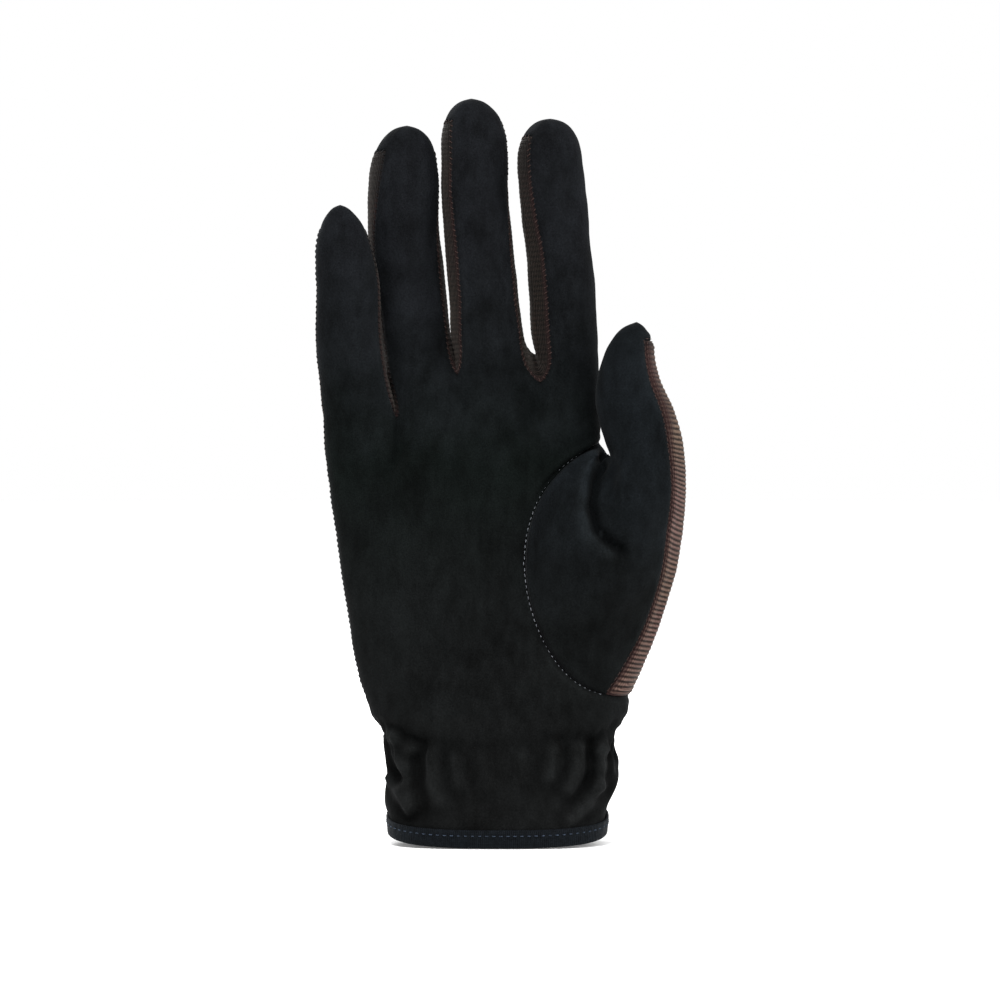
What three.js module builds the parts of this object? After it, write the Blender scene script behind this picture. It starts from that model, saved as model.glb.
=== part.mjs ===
import * as THREE from 'three';

// Riding glove for the right hand, filled out as on a hand.
// The palm faces -Y, the fingers point up along +Z and the thumb is towards +X.
// The origin is the centre of the wrist opening. Lengths are in millimetres and angles in degrees.
// Angles round the hand start at the palm side and turn towards the thumb.

// Hand and cuff
const cuffHeight = 45;
const palmHeight = 94;
const cuffWidth = 68;
const knuckleWidth = 86;
const cuffDepth = 40;
const palmDepth = 27;
const hemRise = 7.3;
const cuffPower = 2.7;
const palmPower = 2.4;

// Fingers
const fingerWidth = 22;
const fingerDepth = 21;
const littleLength = 65.5;
const ringLength = 83.8;
const middleLength = 86.8;
const indexLength = 81.4;
const fingerPower = 2.08;
const knuckleBlend = 28;
const webRise = 9;
const webReach = 10;

// Cloth and seams
const suedeWall = 1.1;
const knitWall = 1.0;
const seamGap = 0.36;
const sharpestCorner = 0.22;
const bindingHeight = 5.5;
const bindingWall = 0.7;
const bindingClearance = 0.3;
const bindingRounding = 0.8;

// Folds and gathers
const gatherDepth = 1.3;
const gatherCount = 20;
const gatherCentre = 24;
const gatherReach = 13;
const gatherSpread = { drift: 3, middle: 0.5 };
const foldDepth = 2;
const creaseDepth = 3.6;
const creaseReach = 3.4;

// Seams between the front and the back of the hand
const leftSeamAngle = -89;
const rightSeamAngle = 100;

// Faces in the skin's net
const frontFaces = 7;
const backFaces = 6;
const sideFaces = 2;
const cuffRows = 9;
const palmRows = 14;
const holeRows = 12;
const relaxPasses = 4;
const relaxReach = 3.5;
const reachPerDegree = 0.5;
const holeSag = 5;
const edgeStep = 1.7;
const edgeSteps = 7;
const fingerRows = [0, 0.08, 0.2, 0.4, 0.6, 0.8, 1];
const capRows = [0.52, 0.86];
const thumbRows = [0, 0.5, 1, 1.6, 2.2, 2.8, 3.4, 4, 5, 6, 7, 8, 9];
const handGrowth = { start: 0.6, length: 0.8 };
const knuckleFollowStart = 0.58;
const sagRows = 4.5;
const backSag = 0.4;
const holePull = { width: 1.15, power: 1.5 };
const relaxWidth = { gain: 1.4, start: 0.3 };

// A finger's seams turn from their base angles to their tip angles over this share of its length
const seamTurnStart = 0.45;
const seamTurnLength = 0.35;

// Rows over which the thumb's lines turn from the hole's angles to the top's. The lines beside the
// knitted strip on the palm side turn later.
const thumbTurnRows = 2;
const stripTurnRows = 4.3;
const stripTurnPower = 2.2;
const stripLines = 3;
const stripReach = 4;

// Outline of the hand below the fingers. Heights under 1 are shares of the cuff's height, and the
// rest runs on above the wrist in shares of the palm's. Left and right are shares of the width
// there, front and back shares of the depth.
const handOutline = [
  { up: 0.000, left: -0.484, right: 0.488, front: 0.500, back: 0.500 },
  { up: 0.120, left: -0.490, right: 0.495, front: 0.498, back: 0.498 },
  { up: 0.236, left: -0.510, right: 0.515, front: 0.490, back: 0.490 },
  { up: 0.356, left: -0.499, right: 0.543, front: 0.486, back: 0.486 },
  { up: 0.444, left: -0.491, right: 0.547, front: 0.483, back: 0.483 },
  { up: 0.533, left: -0.488, right: 0.537, front: 0.480, back: 0.480 },
  { up: 0.600, left: -0.506, right: 0.532, front: 0.475, back: 0.475 },
  { up: 0.813, left: -0.518, right: 0.535, front: 0.470, back: 0.470 },
  { up: 0.978, left: -0.524, right: 0.540, front: 0.490, back: 0.480 },
  { up: 1.088, left: -0.543, right: 0.526, front: 0.520, back: 0.500 },
  { up: 1.187, left: -0.543, right: 0.489, front: 0.555, back: 0.510 },
  { up: 1.286, left: -0.544, right: 0.457, front: 0.580, back: 0.520 },
  { up: 1.435, left: -0.563, right: 0.428, front: 0.580, back: 0.520 },
  { up: 1.583, left: -0.587, right: 0.413, front: 0.560, back: 0.515 },
  { up: 1.732, left: -0.602, right: 0.395, front: 0.540, back: 0.505 },
  { up: 1.847, left: -0.616, right: 0.386, front: 0.520, back: 0.500 },
  { up: 1.966, left: -0.631, right: 0.371, front: 0.500, back: 0.490 },
  { up: 2.124, left: -0.649, right: 0.364, front: 0.470, back: 0.460 },
];

// Angles of the lines that run up to the edges of the fingers, at the cuff and at the knuckles
const frontLines = { cuff: [-89, -32, 4, 44, 100], knuckle: [-89, -22, 0, 32, 100] };
const backLines = { cuff: [100, 142, 180, 218, 271], knuckle: [100, 148, 180, 204, 271] };

// Seams of the thumb hole in the palm and in the back: x in shares of the knuckle width,
// up in shares of the palm's height above the wrist
const holeEnds = { bottom: 0.002, top: 0.840 };
const holeFront = [
  { x: 0.452, up: 0.004 },
  { x: 0.3895, up: 0.013 },
  { x: 0.2965, up: 0.047 },
  { x: 0.215, up: 0.117 },
  { x: 0.148, up: 0.220 },
  { x: 0.108, up: 0.335 },
  { x: 0.0965, up: 0.457 },
  { x: 0.114, up: 0.574 },
  { x: 0.166, up: 0.682 },
  { x: 0.238, up: 0.762 },
  { x: 0.320, up: 0.815 },
];
const holeBack = [
  { x: 0.4535, up: 0.016 },
  { x: 0.428, up: 0.043 },
  { x: 0.401, up: 0.085 },
  { x: 0.372, up: 0.149 },
  { x: 0.349, up: 0.229 },
  { x: 0.331, up: 0.324 },
  { x: 0.323, up: 0.436 },
  { x: 0.326, up: 0.548 },
  { x: 0.337, up: 0.649 },
  { x: 0.352, up: 0.734 },
  { x: 0.370, up: 0.798 },
];

// Turns of the thumb's lines, from the outer side over the palm side to the inner side:
// at the seam round the hole, and further up the thumb
const thumbTurns = {
  hole: [0, 6, 13, 26.6, 43, 61, 78, 95, 111.5, 128, 144, 160, 180],
  top: [0, 25, 50, 64, 77, 90, 102, 114, 126, 139, 152, 166, 180],
};

// Sections of the thumb from the hole to the tip: x in shares of the knuckle width, y of the palm's
// depth, up of the palm's height. Front and back are the reaches to the palm side and to the back.
const thumbSections = [
  { inX: 0.386, inY: 0.04, inUp: 0.840, outX: 0.483, outY: 0.11, outUp: 0.002,
    frontX: -0.337, frontY: -0.630, backX: -0.108, backY: 0.426 },
  { inX: 0.399, inY: -0.04, inUp: 0.801, outX: 0.544, outY: 0.00, outUp: 0.138,
    frontX: -0.227, frontY: -0.850, backX: -0.087, backY: 0.463 },
  { inX: 0.409, inY: -0.11, inUp: 0.791, outX: 0.619, outY: -0.15, outUp: 0.340,
    frontX: -0.128, frontY: -0.833, backX: -0.058, backY: 0.481 },
  { inX: 0.410, inY: -0.22, inUp: 0.796, outX: 0.660, outY: -0.33, outUp: 0.548,
    frontX: -0.058, frontY: -0.740, backX: -0.023, backY: 0.463 },
  { inX: 0.391, inY: -0.37, inUp: 0.830, outX: 0.671, outY: -0.48, outUp: 0.766,
    frontX: -0.012, frontY: -0.520, backX: 0, backY: 0.407 },
  { inX: 0.357, inY: -0.48, inUp: 0.941, outX: 0.638, outY: -0.59, outUp: 0.920,
    frontX: 0, frontY: -0.426, backX: 0, backY: 0.370 },
  { inX: 0.358, inY: -0.57, inUp: 1.043, outX: 0.581, outY: -0.65, outUp: 1.037,
    frontX: 0, frontY: -0.380, backX: 0, backY: 0.344 },
  { inX: 0.384, inY: -0.65, inUp: 1.124, outX: 0.558, outY: -0.685, outUp: 1.127,
    frontX: 0, frontY: -0.326, backX: 0, backY: 0.304 },
  { inX: 0.407, inY: -0.685, inUp: 1.164, outX: 0.549, outY: -0.70, outUp: 1.166,
    frontX: 0, frontY: -0.260, backX: 0, backY: 0.248 },
  { inX: 0.4395, inY: -0.70, inUp: 1.203, outX: 0.530, outY: -0.715, outUp: 1.203,
    frontX: 0, frontY: -0.160, backX: 0, backY: 0.156 },
];
const thumbTip = { x: 0.495, y: -0.715, up: 1.228 };
const thumbCapRow = 8;
const thumbPull = 1.5;
const thumbStrip = { frontLine: 2, backLine: 9 };

// Fingers from the little finger to the index finger. Base is in shares of the palm's height above
// the wrist. In the sections, along and cap are shares of the finger's length, x of the knuckle
// width, half of the finger width, y and depth of the finger depth. Left and right are the angles
// of the two seams at the base and at the tip, measured on the finger, which is turned by its roll.
const fingers = [
  {
    name: 'little', length: littleLength, base: 0.920, roll: -8, cap: 0.740, capPower: 1.7,
    left: [-74, -82], right: [76, 84],
    sections: [
      { along: 0.000, x: -0.491, half: 0.514, y: -0.095, depth: 0.480 },
      { along: 0.084, x: -0.502, half: 0.500, y: -0.190, depth: 0.460 },
      { along: 0.293, x: -0.524, half: 0.477, y: -0.345, depth: 0.440 },
      { along: 0.463, x: -0.530, half: 0.455, y: -0.400, depth: 0.420 },
      { along: 0.634, x: -0.532, half: 0.445, y: -0.460, depth: 0.400 },
      { along: 0.740, x: -0.543, half: 0.423, y: -0.500, depth: 0.390 },
      { along: 1.000, x: -0.560, half: 0.400, y: -0.520, depth: 0.380 },
    ],
  },
  {
    name: 'ring', length: ringLength, base: 0.989, roll: 10, cap: 0.797, capPower: 2,
    left: [-72, -46], right: [52, 78],
    sections: [
      { along: 0.000, x: -0.265, half: 0.438, y: 0.050, depth: 0.490 },
      { along: 0.152, x: -0.289, half: 0.492, y: 0.125, depth: 0.485 },
      { along: 0.284, x: -0.3016, half: 0.503, y: 0.135, depth: 0.480 },
      { along: 0.358, x: -0.309, half: 0.512, y: 0.120, depth: 0.478 },
      { along: 0.453, x: -0.323, half: 0.502, y: 0.060, depth: 0.470 },
      { along: 0.549, x: -0.334, half: 0.511, y: 0.000, depth: 0.462 },
      { along: 0.680, x: -0.341, half: 0.500, y: -0.050, depth: 0.450 },
      { along: 0.797, x: -0.338, half: 0.498, y: -0.095, depth: 0.435 },
      { along: 1.000, x: -0.324, half: 0.480, y: -0.143, depth: 0.420 },
    ],
  },
  {
    name: 'middle', length: middleLength, base: 1.047, roll: 18, cap: 0.821, capPower: 2,
    left: [-60, -60], right: [46, 70],
    sections: [
      { along: 0.000, x: -0.007, half: 0.527, y: -0.010, depth: 0.495 },
      { along: 0.084, x: -0.0275, half: 0.516, y: -0.110, depth: 0.490 },
      { along: 0.256, x: -0.0435, half: 0.500, y: -0.160, depth: 0.480 },
      { along: 0.330, x: -0.0506, half: 0.489, y: -0.155, depth: 0.475 },
      { along: 0.470, x: -0.0616, half: 0.477, y: -0.140, depth: 0.465 },
      { along: 0.598, x: -0.0744, half: 0.473, y: -0.130, depth: 0.455 },
      { along: 0.821, x: -0.0826, half: 0.468, y: -0.140, depth: 0.435 },
      { along: 1.000, x: -0.093, half: 0.450, y: -0.143, depth: 0.420 },
    ],
  },
  {
    name: 'index', length: indexLength, base: 1.035, roll: 15, cap: 0.848, capPower: 2,
    left: [-41, -53], right: [105, 105],
    sections: [
      { along: 0.000, x: 0.2605, half: 0.427, y: -0.024, depth: 0.480 },
      { along: 0.103, x: 0.2477, half: 0.4545, y: -0.040, depth: 0.478 },
      { along: 0.286, x: 0.235, half: 0.477, y: -0.080, depth: 0.470 },
      { along: 0.468, x: 0.223, half: 0.464, y: -0.120, depth: 0.460 },
      { along: 0.651, x: 0.2035, half: 0.473, y: -0.165, depth: 0.450 },
      { along: 0.803, x: 0.188, half: 0.468, y: -0.200, depth: 0.437 },
      { along: 0.848, x: 0.1895, half: 0.459, y: -0.215, depth: 0.430 },
      { along: 1.000, x: 0.191, half: 0.440, y: -0.238, depth: 0.420 },
    ],
  },
];
const backSeamAngle = 125;

// Webs between neighbouring fingers: x in shares of the knuckle width, y of the palm's depth,
// up of the palm's height, on the palm side, in the middle and on the back of the hand
const webs = [
  { up: 0.920, frontX: -0.357, midX: -0.371, backX: -0.370, frontY: -0.24, backY: 0.27 },
  { up: 1.0585, frontX: -0.143, midX: -0.150, backX: -0.149, frontY: -0.24, backY: 0.29 },
  { up: 1.035, frontX: 0.155, midX: 0.140, backX: 0.140, frontY: -0.24, backY: 0.25 },
];
const outerEdges = { little: 0.904, index: 1.021 };

// Soft dents: x and reachX in shares of the knuckle width, up and reachUp in shares of the palm's
// height, depth in shares of the fold depth, facing -1 on the palm side and 1 on the back.
// Lean tips the dent's long side up towards the thumb.
const dents = [
  { name: 'wrist fold', x: -0.02, up: 0.170, reachX: 0.36, reachUp: 0.035,
    lean: 0.05, depth: 0.55, facing: -1 },
  { name: 'gather line fold', x: -0.05, up: -0.045, reachX: 0.34, reachUp: 0.040,
    lean: 0, depth: 0.60, facing: -1 },
  { name: 'hollow of the palm', x: -0.12, up: 0.600, reachX: 0.20, reachUp: 0.260,
    lean: 0.2, depth: 1.00, facing: -1 },
  { name: 'ring finger fold', x: -0.30, up: 1.270, reachX: 0.16, reachUp: 0.035,
    lean: 0, depth: 0.25, facing: -1 },
  { name: 'middle finger fold', x: -0.05, up: 1.330, reachX: 0.16, reachUp: 0.035,
    lean: 0, depth: 0.25, facing: -1 },
  { name: 'index finger fold', x: 0.23, up: 1.300, reachX: 0.16, reachUp: 0.035,
    lean: 0, depth: 0.25, facing: -1 },
  { name: 'knuckle of the middle finger', x: 0.00, up: 0.930, reachX: 0.10, reachUp: 0.10,
    lean: 0, depth: -0.60, facing: 1 },
  { name: 'knuckle of the index finger', x: 0.22, up: 0.900, reachX: 0.09, reachUp: 0.10,
    lean: 0, depth: -0.55, facing: 1 },
  { name: 'knuckle of the ring finger', x: -0.22, up: 0.880, reachX: 0.09, reachUp: 0.10,
    lean: 0, depth: -0.50, facing: 1 },
  { name: 'knuckle of the little finger', x: -0.44, up: 0.800, reachX: 0.09, reachUp: 0.10,
    lean: 0, depth: -0.40, facing: 1 },
  { name: 'back wrist fold', x: 0.00, up: 0.060, reachX: 0.36, reachUp: 0.040,
    lean: 0, depth: 0.50, facing: 1 },
];

// Crease between the palm and the root of the thumb, from its top down
const crease = [
  { x: 0.382, up: 0.740 },
  { x: 0.371, up: 0.640 },
  { x: 0.385, up: 0.550 },
  { x: 0.432, up: 0.495 },
];

const fullTurn = 360;
const colours = {
  suede: 0x17191b,
  knit: 0x50403a,
  binding: 0x15191d,
};

// Small helpers

function mix(a, b, t) {
  return a + (b - a) * t;
}

function clamp(t) {
  return Math.min(1, Math.max(0, t));
}

function smooth(t) {
  const s = clamp(t);
  return s * s * (3 - 2 * s);
}

function radians(angle) {
  return (angle * Math.PI) / 180;
}

function signedPower(value, power) {
  return Math.sign(value) * Math.abs(value) ** power;
}

// Value of one column of a table at a place between its rows, on a smooth curve through them
function column(table, key, at, name) {
  const last = table.length - 1;
  if (at <= table[0][key]) return table[0][name];
  if (at >= table[last][key]) return table[last][name];
  let row = 0;
  while (table[row + 1][key] < at) row += 1;
  const slope = (r) => {
    const a = table[Math.max(r - 1, 0)];
    const b = table[Math.min(r + 1, last)];
    return (b[name] - a[name]) / (b[key] - a[key]);
  };
  const span = table[row + 1][key] - table[row][key];
  const t = (at - table[row][key]) / span;
  const lower = table[row][name] + slope(row) * span * t;
  const upper = table[row + 1][name] - slope(row + 1) * span * (1 - t);
  return mix(lower, upper, smooth(t));
}

// Straight run between the entries of a list, at a place from 0 to its last index
function listValue(list, at) {
  const index = Math.min(Math.floor(at), list.length - 2);
  return mix(list[index], list[index + 1], at - index);
}

// Section of the hand

function handUp(z) {
  return z < cuffHeight ? z / cuffHeight : 1 + (z - cuffHeight) / palmHeight;
}

function handSection(z) {
  const up = handUp(z);
  const grown = smooth((up - handGrowth.start) / handGrowth.length);
  const width = mix(cuffWidth, knuckleWidth, grown);
  const depth = mix(cuffDepth, palmDepth, grown);
  const left = width * column(handOutline, 'up', up, 'left');
  const right = width * column(handOutline, 'up', up, 'right');
  return {
    middle: (left + right) / 2,
    half: (right - left) / 2,
    front: depth * column(handOutline, 'up', up, 'front'),
    back: depth * column(handOutline, 'up', up, 'back'),
    power: mix(cuffPower, palmPower, grown),
  };
}

function handPoint(angle, z) {
  const section = handSection(z);
  const turn = radians(angle);
  const across = signedPower(Math.sin(turn), 2 / section.power);
  const along = signedPower(Math.cos(turn), 2 / section.power);
  const reach = along > 0 ? section.front : section.back;
  return new THREE.Vector3(section.middle + section.half * across, -reach * along, z);
}

function handAngle(x, z, facing) {
  const section = handSection(z);
  const across = Math.min(1, Math.max(-1, (x - section.middle) / section.half));
  const turn = (Math.asin(signedPower(across, section.power / 2)) * 180) / Math.PI;
  return facing < 0 ? turn : 180 - turn;
}

// The hem is level at the palm side and rises to the back
function tilted(point) {
  const share = clamp(1 - point.z / cuffHeight);
  point.z += hemRise * (point.y / cuffDepth + 0.5) * share;
  return point;
}

// Section of a finger

function fingerBase(finger) {
  return cuffHeight + palmHeight * finger.base;
}

function fingerPoint(finger, z, angle) {
  const along = (z - fingerBase(finger)) / finger.length;
  const past = clamp((along - finger.cap) / (1 - finger.cap));
  const round = (1 - past ** finger.capPower) ** (1 / finger.capPower);
  const seenHalf = fingerWidth * column(finger.sections, 'along', Math.min(along, finger.cap), 'half');
  const deep = fingerDepth * column(finger.sections, 'along', along, 'depth') * round;
  const roll = radians(finger.roll);
  const seen = seenHalf * round;
  const half = Math.sqrt(seen ** 2 - (deep * Math.sin(roll)) ** 2) / Math.cos(roll);
  const turn = radians(angle);
  const across = half * signedPower(Math.sin(turn), 2 / fingerPower);
  const back = -deep * signedPower(Math.cos(turn), 2 / fingerPower);
  const x = knuckleWidth * column(finger.sections, 'along', along, 'x');
  const y = fingerDepth * column(finger.sections, 'along', along, 'y');
  return new THREE.Vector3(
    x + across * Math.cos(roll) - back * Math.sin(roll),
    y + across * Math.sin(roll) + back * Math.cos(roll),
    z,
  );
}

// Line over a web from the palm side, at 0, to the back of the hand, at 1
function webPoint(web, share) {
  const firstHalf = share < 0.5;
  const x = firstHalf
    ? mix(web.frontX, web.midX, smooth(share * 2))
    : mix(web.midX, web.backX, share * 2 - 1);
  const rise = webRise * Math.sin((Math.PI / 2) * share);
  return new THREE.Vector3(
    knuckleWidth * x,
    palmDepth * mix(web.frontY, web.backY, share),
    cuffHeight + palmHeight * web.up + rise,
  );
}

// Angles of the edges of a finger's palm side or back, in the order of the net's columns
function fingerArc(index, facing, along) {
  const finger = fingers[index];
  const turned = smooth((along - seamTurnStart) / seamTurnLength);
  const left = mix(finger.left[0], finger.left[1], turned);
  const right = mix(finger.right[0], finger.right[1], turned);
  if (facing < 0) return [left, right];
  const backRight = index === fingers.length - 1 ? right : backSeamAngle - finger.roll;
  const backLeft = index === 0 ? left + fullTurn : fullTurn - backSeamAngle - finger.roll;
  return [backRight, backLeft];
}

// Point of a finger's palm side or back, level with the knuckles or below. Its edges run down from
// the webs, so that neighbouring fingers share them.
function knucklePoint(index, facing, share, z) {
  const [start, end] = fingerArc(index, facing, 0);
  const finger = fingers[index];
  const point = fingerPoint(finger, z, mix(start, end, share));
  const startWeb = facing < 0 ? webs[index - 1] : webs[index];
  const endWeb = facing < 0 ? webs[index] : webs[index - 1];
  const side = facing < 0 ? 0 : 1;
  const pull = (web, angle, weight) => {
    if (!web) return;
    const edge = webPoint(web, side);
    edge.z = z;
    point.addScaledVector(edge.sub(fingerPoint(finger, z, angle)), weight);
  };
  pull(startWeb, start, (1 - share) ** 2);
  pull(endWeb, end, share ** 2);
  return point;
}

// Net of the hand: rows from the hem to the knuckles, columns from the left seam over the palm to
// the right seam, and from the right seam over the back to the left seam

const hemEdge = bindingWall + bindingClearance;
const lastRow = cuffRows + palmRows;
const frontColumns = 4 * frontFaces;
const backColumns = 4 * backFaces + 2 * sideFaces;

function rowHeight(row) {
  if (row <= cuffRows) return mix(hemEdge, cuffHeight, row / cuffRows);
  return mix(cuffHeight, cuffHeight + palmHeight, (row - cuffRows) / palmRows);
}

// Finger of a column, and the share of the column across that finger
function columnPlace(facing, at) {
  if (facing < 0) {
    const index = Math.min(Math.floor(at / frontFaces), 3);
    return { index, share: at / frontFaces - index };
  }
  const edges = [0, 1, 2, 3].map((k) => sideFaces + backFaces * (k + 1));
  edges[3] = backColumns;
  const place = edges.findIndex((edge) => at <= edge);
  const start = place === 0 ? 0 : edges[place - 1];
  return { index: 3 - place, share: (at - start) / (edges[place] - start) };
}

// Height of the net's top edge at a column
function knuckleHeight(facing, at) {
  const { index, share } = columnPlace(facing, at);
  const outerLeft = cuffHeight + palmHeight * outerEdges.little;
  const outerRight = cuffHeight + palmHeight * outerEdges.index;
  const side = facing < 0 ? 0 : 1;
  const left = index === 0 ? outerLeft : webPoint(webs[index - 1], side).z;
  const right = index === 3 ? outerRight : webPoint(webs[index], side).z;
  return facing < 0 ? mix(left, right, smooth(share)) : mix(right, left, smooth(share));
}

// Place of the thumb hole's seam in a row: its height and its angle round the hand
function holeSeam(facing, row) {
  const step = row - cuffRows;
  if (step < 0 || step > holeRows) return null;
  const bottom = cuffHeight + palmHeight * holeEnds.bottom;
  const top = cuffHeight + palmHeight * holeEnds.top;
  if (step === 0) return { z: bottom, angle: rightSeamAngle };
  if (step === holeRows) return { z: top, angle: rightSeamAngle };
  const entry = (facing < 0 ? holeFront : holeBack)[step - 1];
  const z = cuffHeight + palmHeight * entry.up;
  return { z, angle: handAngle(knuckleWidth * entry.x, z, facing) };
}

// Seam point of the thumb hole nearest to a row, with the direction away from the hole there
function holeEdge(facing, row) {
  const seam = holeSeam(facing, row);
  if (!seam) return null;
  const below = holeSeam(facing, row - 1) ?? { z: seam.z - 1, angle: seam.angle };
  const above = holeSeam(facing, row + 1) ?? { z: seam.z + 1, angle: seam.angle };
  const away = new THREE.Vector2(below.z - above.z, (above.angle - below.angle) * reachPerDegree);
  if (facing > 0) away.negate();
  away.normalize();
  return { seam, away: { angle: away.x / reachPerDegree, z: away.y } };
}

function netPlace(facing, row, at) {
  const columns = facing < 0 ? frontColumns : backColumns;
  const { index, share } = columnPlace(facing, at);
  const lines = facing < 0 ? frontLines : backLines;
  const place = facing < 0 ? index + share : 3 - index + share;
  const high = smooth((row - cuffRows) / palmRows);
  const seams = facing < 0 ? [leftSeamAngle, rightSeamAngle] : [rightSeamAngle, fullTurn + leftSeamAngle];
  const level = (list) => listValue([seams[0], ...list.slice(1, -1), seams[1]], place);
  let angle = mix(level(lines.cuff), level(lines.knuckle), high);
  if (row < cuffRows) {
    const top = netPlace(facing, cuffRows, at);
    const rise = row / cuffRows;
    return { angle: mix(angle, top.angle, smooth(rise)), z: mix(hemEdge, top.z, rise) };
  }
  const nominal = rowHeight(row);
  const followed = (nominal - cuffHeight) / palmHeight - knuckleFollowStart;
  const nearTop = smooth(followed / (1 - knuckleFollowStart));
  let z = nominal + (knuckleHeight(facing, at) - cuffHeight - palmHeight) * nearTop;
  const edge = holeEdge(facing, row);
  if (edge) {
    const { seam, away } = edge;
    const near = facing < 0 ? at / columns : 1 - at / columns;
    const steps = facing < 0 ? columns - at : at;
    const step = row - cuffRows;
    const bend = smooth(1 - step / sagRows) - smooth(1 - (holeRows - step) / sagRows);
    const sag = holeSag * bend * (facing < 0 ? 1 : backSag);
    z = mix(z, seam.z - sag, smooth(near * holePull.width) ** holePull.power);
    angle += (seam.angle - rightSeamAngle) * near ** holePull.power;
    const close = smooth(1 - steps / edgeSteps);
    z = mix(z, seam.z + away.z * edgeStep * steps, close);
    angle = mix(angle, seam.angle + away.angle * edgeStep * steps, close);
  }
  return { angle, z };
}

// Evens out the net beside the two ends of the thumb hole, where its rows bend most
function relaxNet(net, facing) {
  const columns = net[0].length - 1;
  const endNearness = (row) => {
    const steps = Math.min(Math.abs(row - cuffRows), Math.abs(row - cuffRows - holeRows));
    return smooth(1 - steps / relaxReach);
  };
  for (let pass = 0; pass < relaxPasses; pass += 1) {
    const before = net.map((line) => line.map((place) => ({ ...place })));
    for (let row = 1; row < net.length - 1; row += 1) {
      for (let at = 1; at < columns; at += 1) {
        const around = [
          before[row - 1][at], before[row + 1][at], before[row][at - 1], before[row][at + 1],
        ];
        const near = facing < 0 ? at / columns : 1 - at / columns;
        const strength = smooth(near * relaxWidth.gain - relaxWidth.start) * endNearness(row);
        for (const key of ['angle', 'z']) {
          const average = around.reduce((sum, place) => sum + place[key], 0) / 4;
          net[row][at][key] = mix(before[row][at][key], average, strength);
        }
      }
    }
  }
  return net;
}

function handNet(facing) {
  const columns = facing < 0 ? frontColumns : backColumns;
  const net = [];
  for (let row = 0; row <= lastRow; row += 1) {
    net.push(Array.from({ length: columns + 1 }, (_, at) => netPlace(facing, row, at)));
  }
  return relaxNet(net, facing);
}

function netPoint(facing, place, at) {
  const { index, share } = columnPlace(facing, at);
  const below = knuckleHeight(facing, at) - place.z;
  const blend = smooth(1 - below / knuckleBlend);
  const hand = handPoint(place.angle, place.z);
  tilted(hand);
  if (blend === 0) return hand;
  return hand.lerp(knucklePoint(index, facing, share, place.z), blend);
}

// The whole skin: shared points and faces that each name their panel

const skin = { points: [], faces: [] };

function addPoint(point) {
  skin.points.push(point);
  return skin.points.length - 1;
}

function addFace(panel, corners) {
  skin.faces.push({ panel, corners });
}

function addHand() {
  const frontNet = handNet(-1);
  const backNet = handNet(1);
  const front = frontNet.map((line) => line.map((place, at) => addPoint(netPoint(-1, place, at))));
  const back = backNet.map((line, row) => {
    const open = row > cuffRows && row < cuffRows + holeRows;
    return line.map((place, at) => {
      if (at === 0 && !open) return front[row][frontColumns];
      if (at === backColumns) return front[row][0];
      return addPoint(netPoint(1, place, at));
    });
  });
  for (const [rows, columns, label] of [
    [front, frontColumns, () => 'palm_panel'],
    [back, backColumns, (row) => (row < cuffRows ? 'cuff_back' : 'back_panel')],
  ]) {
    for (let row = 0; row < lastRow; row += 1) {
      for (let at = 0; at < columns; at += 1) {
        const lower = rows[row];
        const upper = rows[row + 1];
        addFace(label(row), [lower[at], lower[at + 1], upper[at + 1], upper[at]]);
      }
    }
  }
  return { front, back, hemAngles: [frontNet[0], backNet[0]] };
}

// Points round the base of a finger: palm side, right side, back, left side
function fingerRing(index, hand, webIds) {
  const outerLeft = index === 0 ? sideFaces : 0;
  const outerRight = index === 3 ? sideFaces : 0;
  const ring = [];
  const [frontStart, frontEnd] = [index * frontFaces, (index + 1) * frontFaces];
  for (let at = frontStart; at <= frontEnd; at += 1) {
    ring.push({ id: hand.front[lastRow][at], part: 'front', share: (at - frontStart) / frontFaces });
  }
  if (index < 3) {
    webIds[index].forEach((id, k) => ring.push({ id, part: 'right', share: (k + 1) / sideFaces }));
  }
  const backStart = outerRight ? 0 : sideFaces + (3 - index) * backFaces;
  const backCount = backFaces + outerLeft + outerRight;
  for (let k = outerRight ? 1 : 0; k <= backCount - (outerLeft ? 1 : 0); k += 1) {
    ring.push({ id: hand.back[lastRow][backStart + k], part: 'back', share: k / backCount });
  }
  if (index > 0) {
    const ids = [...webIds[index - 1]].reverse();
    ids.forEach((id, k) => ring.push({ id, part: 'left', share: (k + 1) / sideFaces }));
  }
  return ring;
}

function ringAngle(index, item, along) {
  const [left, right] = fingerArc(index, -1, along);
  const [backRight, backLeft] = fingerArc(index, 1, along);
  if (item.part === 'front') return mix(left, right, item.share);
  if (item.part === 'right') return mix(right, backRight, item.share);
  if (item.part === 'back') return mix(backRight, backLeft, item.share);
  return mix(backLeft, left + fullTurn, item.share);
}

function sidePanel(index, item, next) {
  const gaps = ['fourchette_little_ring', 'fourchette_ring_middle', 'fourchette_middle_index'];
  if (item.part === 'front' && next.part === 'front') return 'palm_panel';
  if (item.part === 'right' || (item.part === 'front' && next.part === 'right')) return gaps[index];
  if (item.part === 'left' || (item.part === 'back' && next.part === 'left')) return gaps[index - 1];
  return 'back_panel';
}

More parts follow.
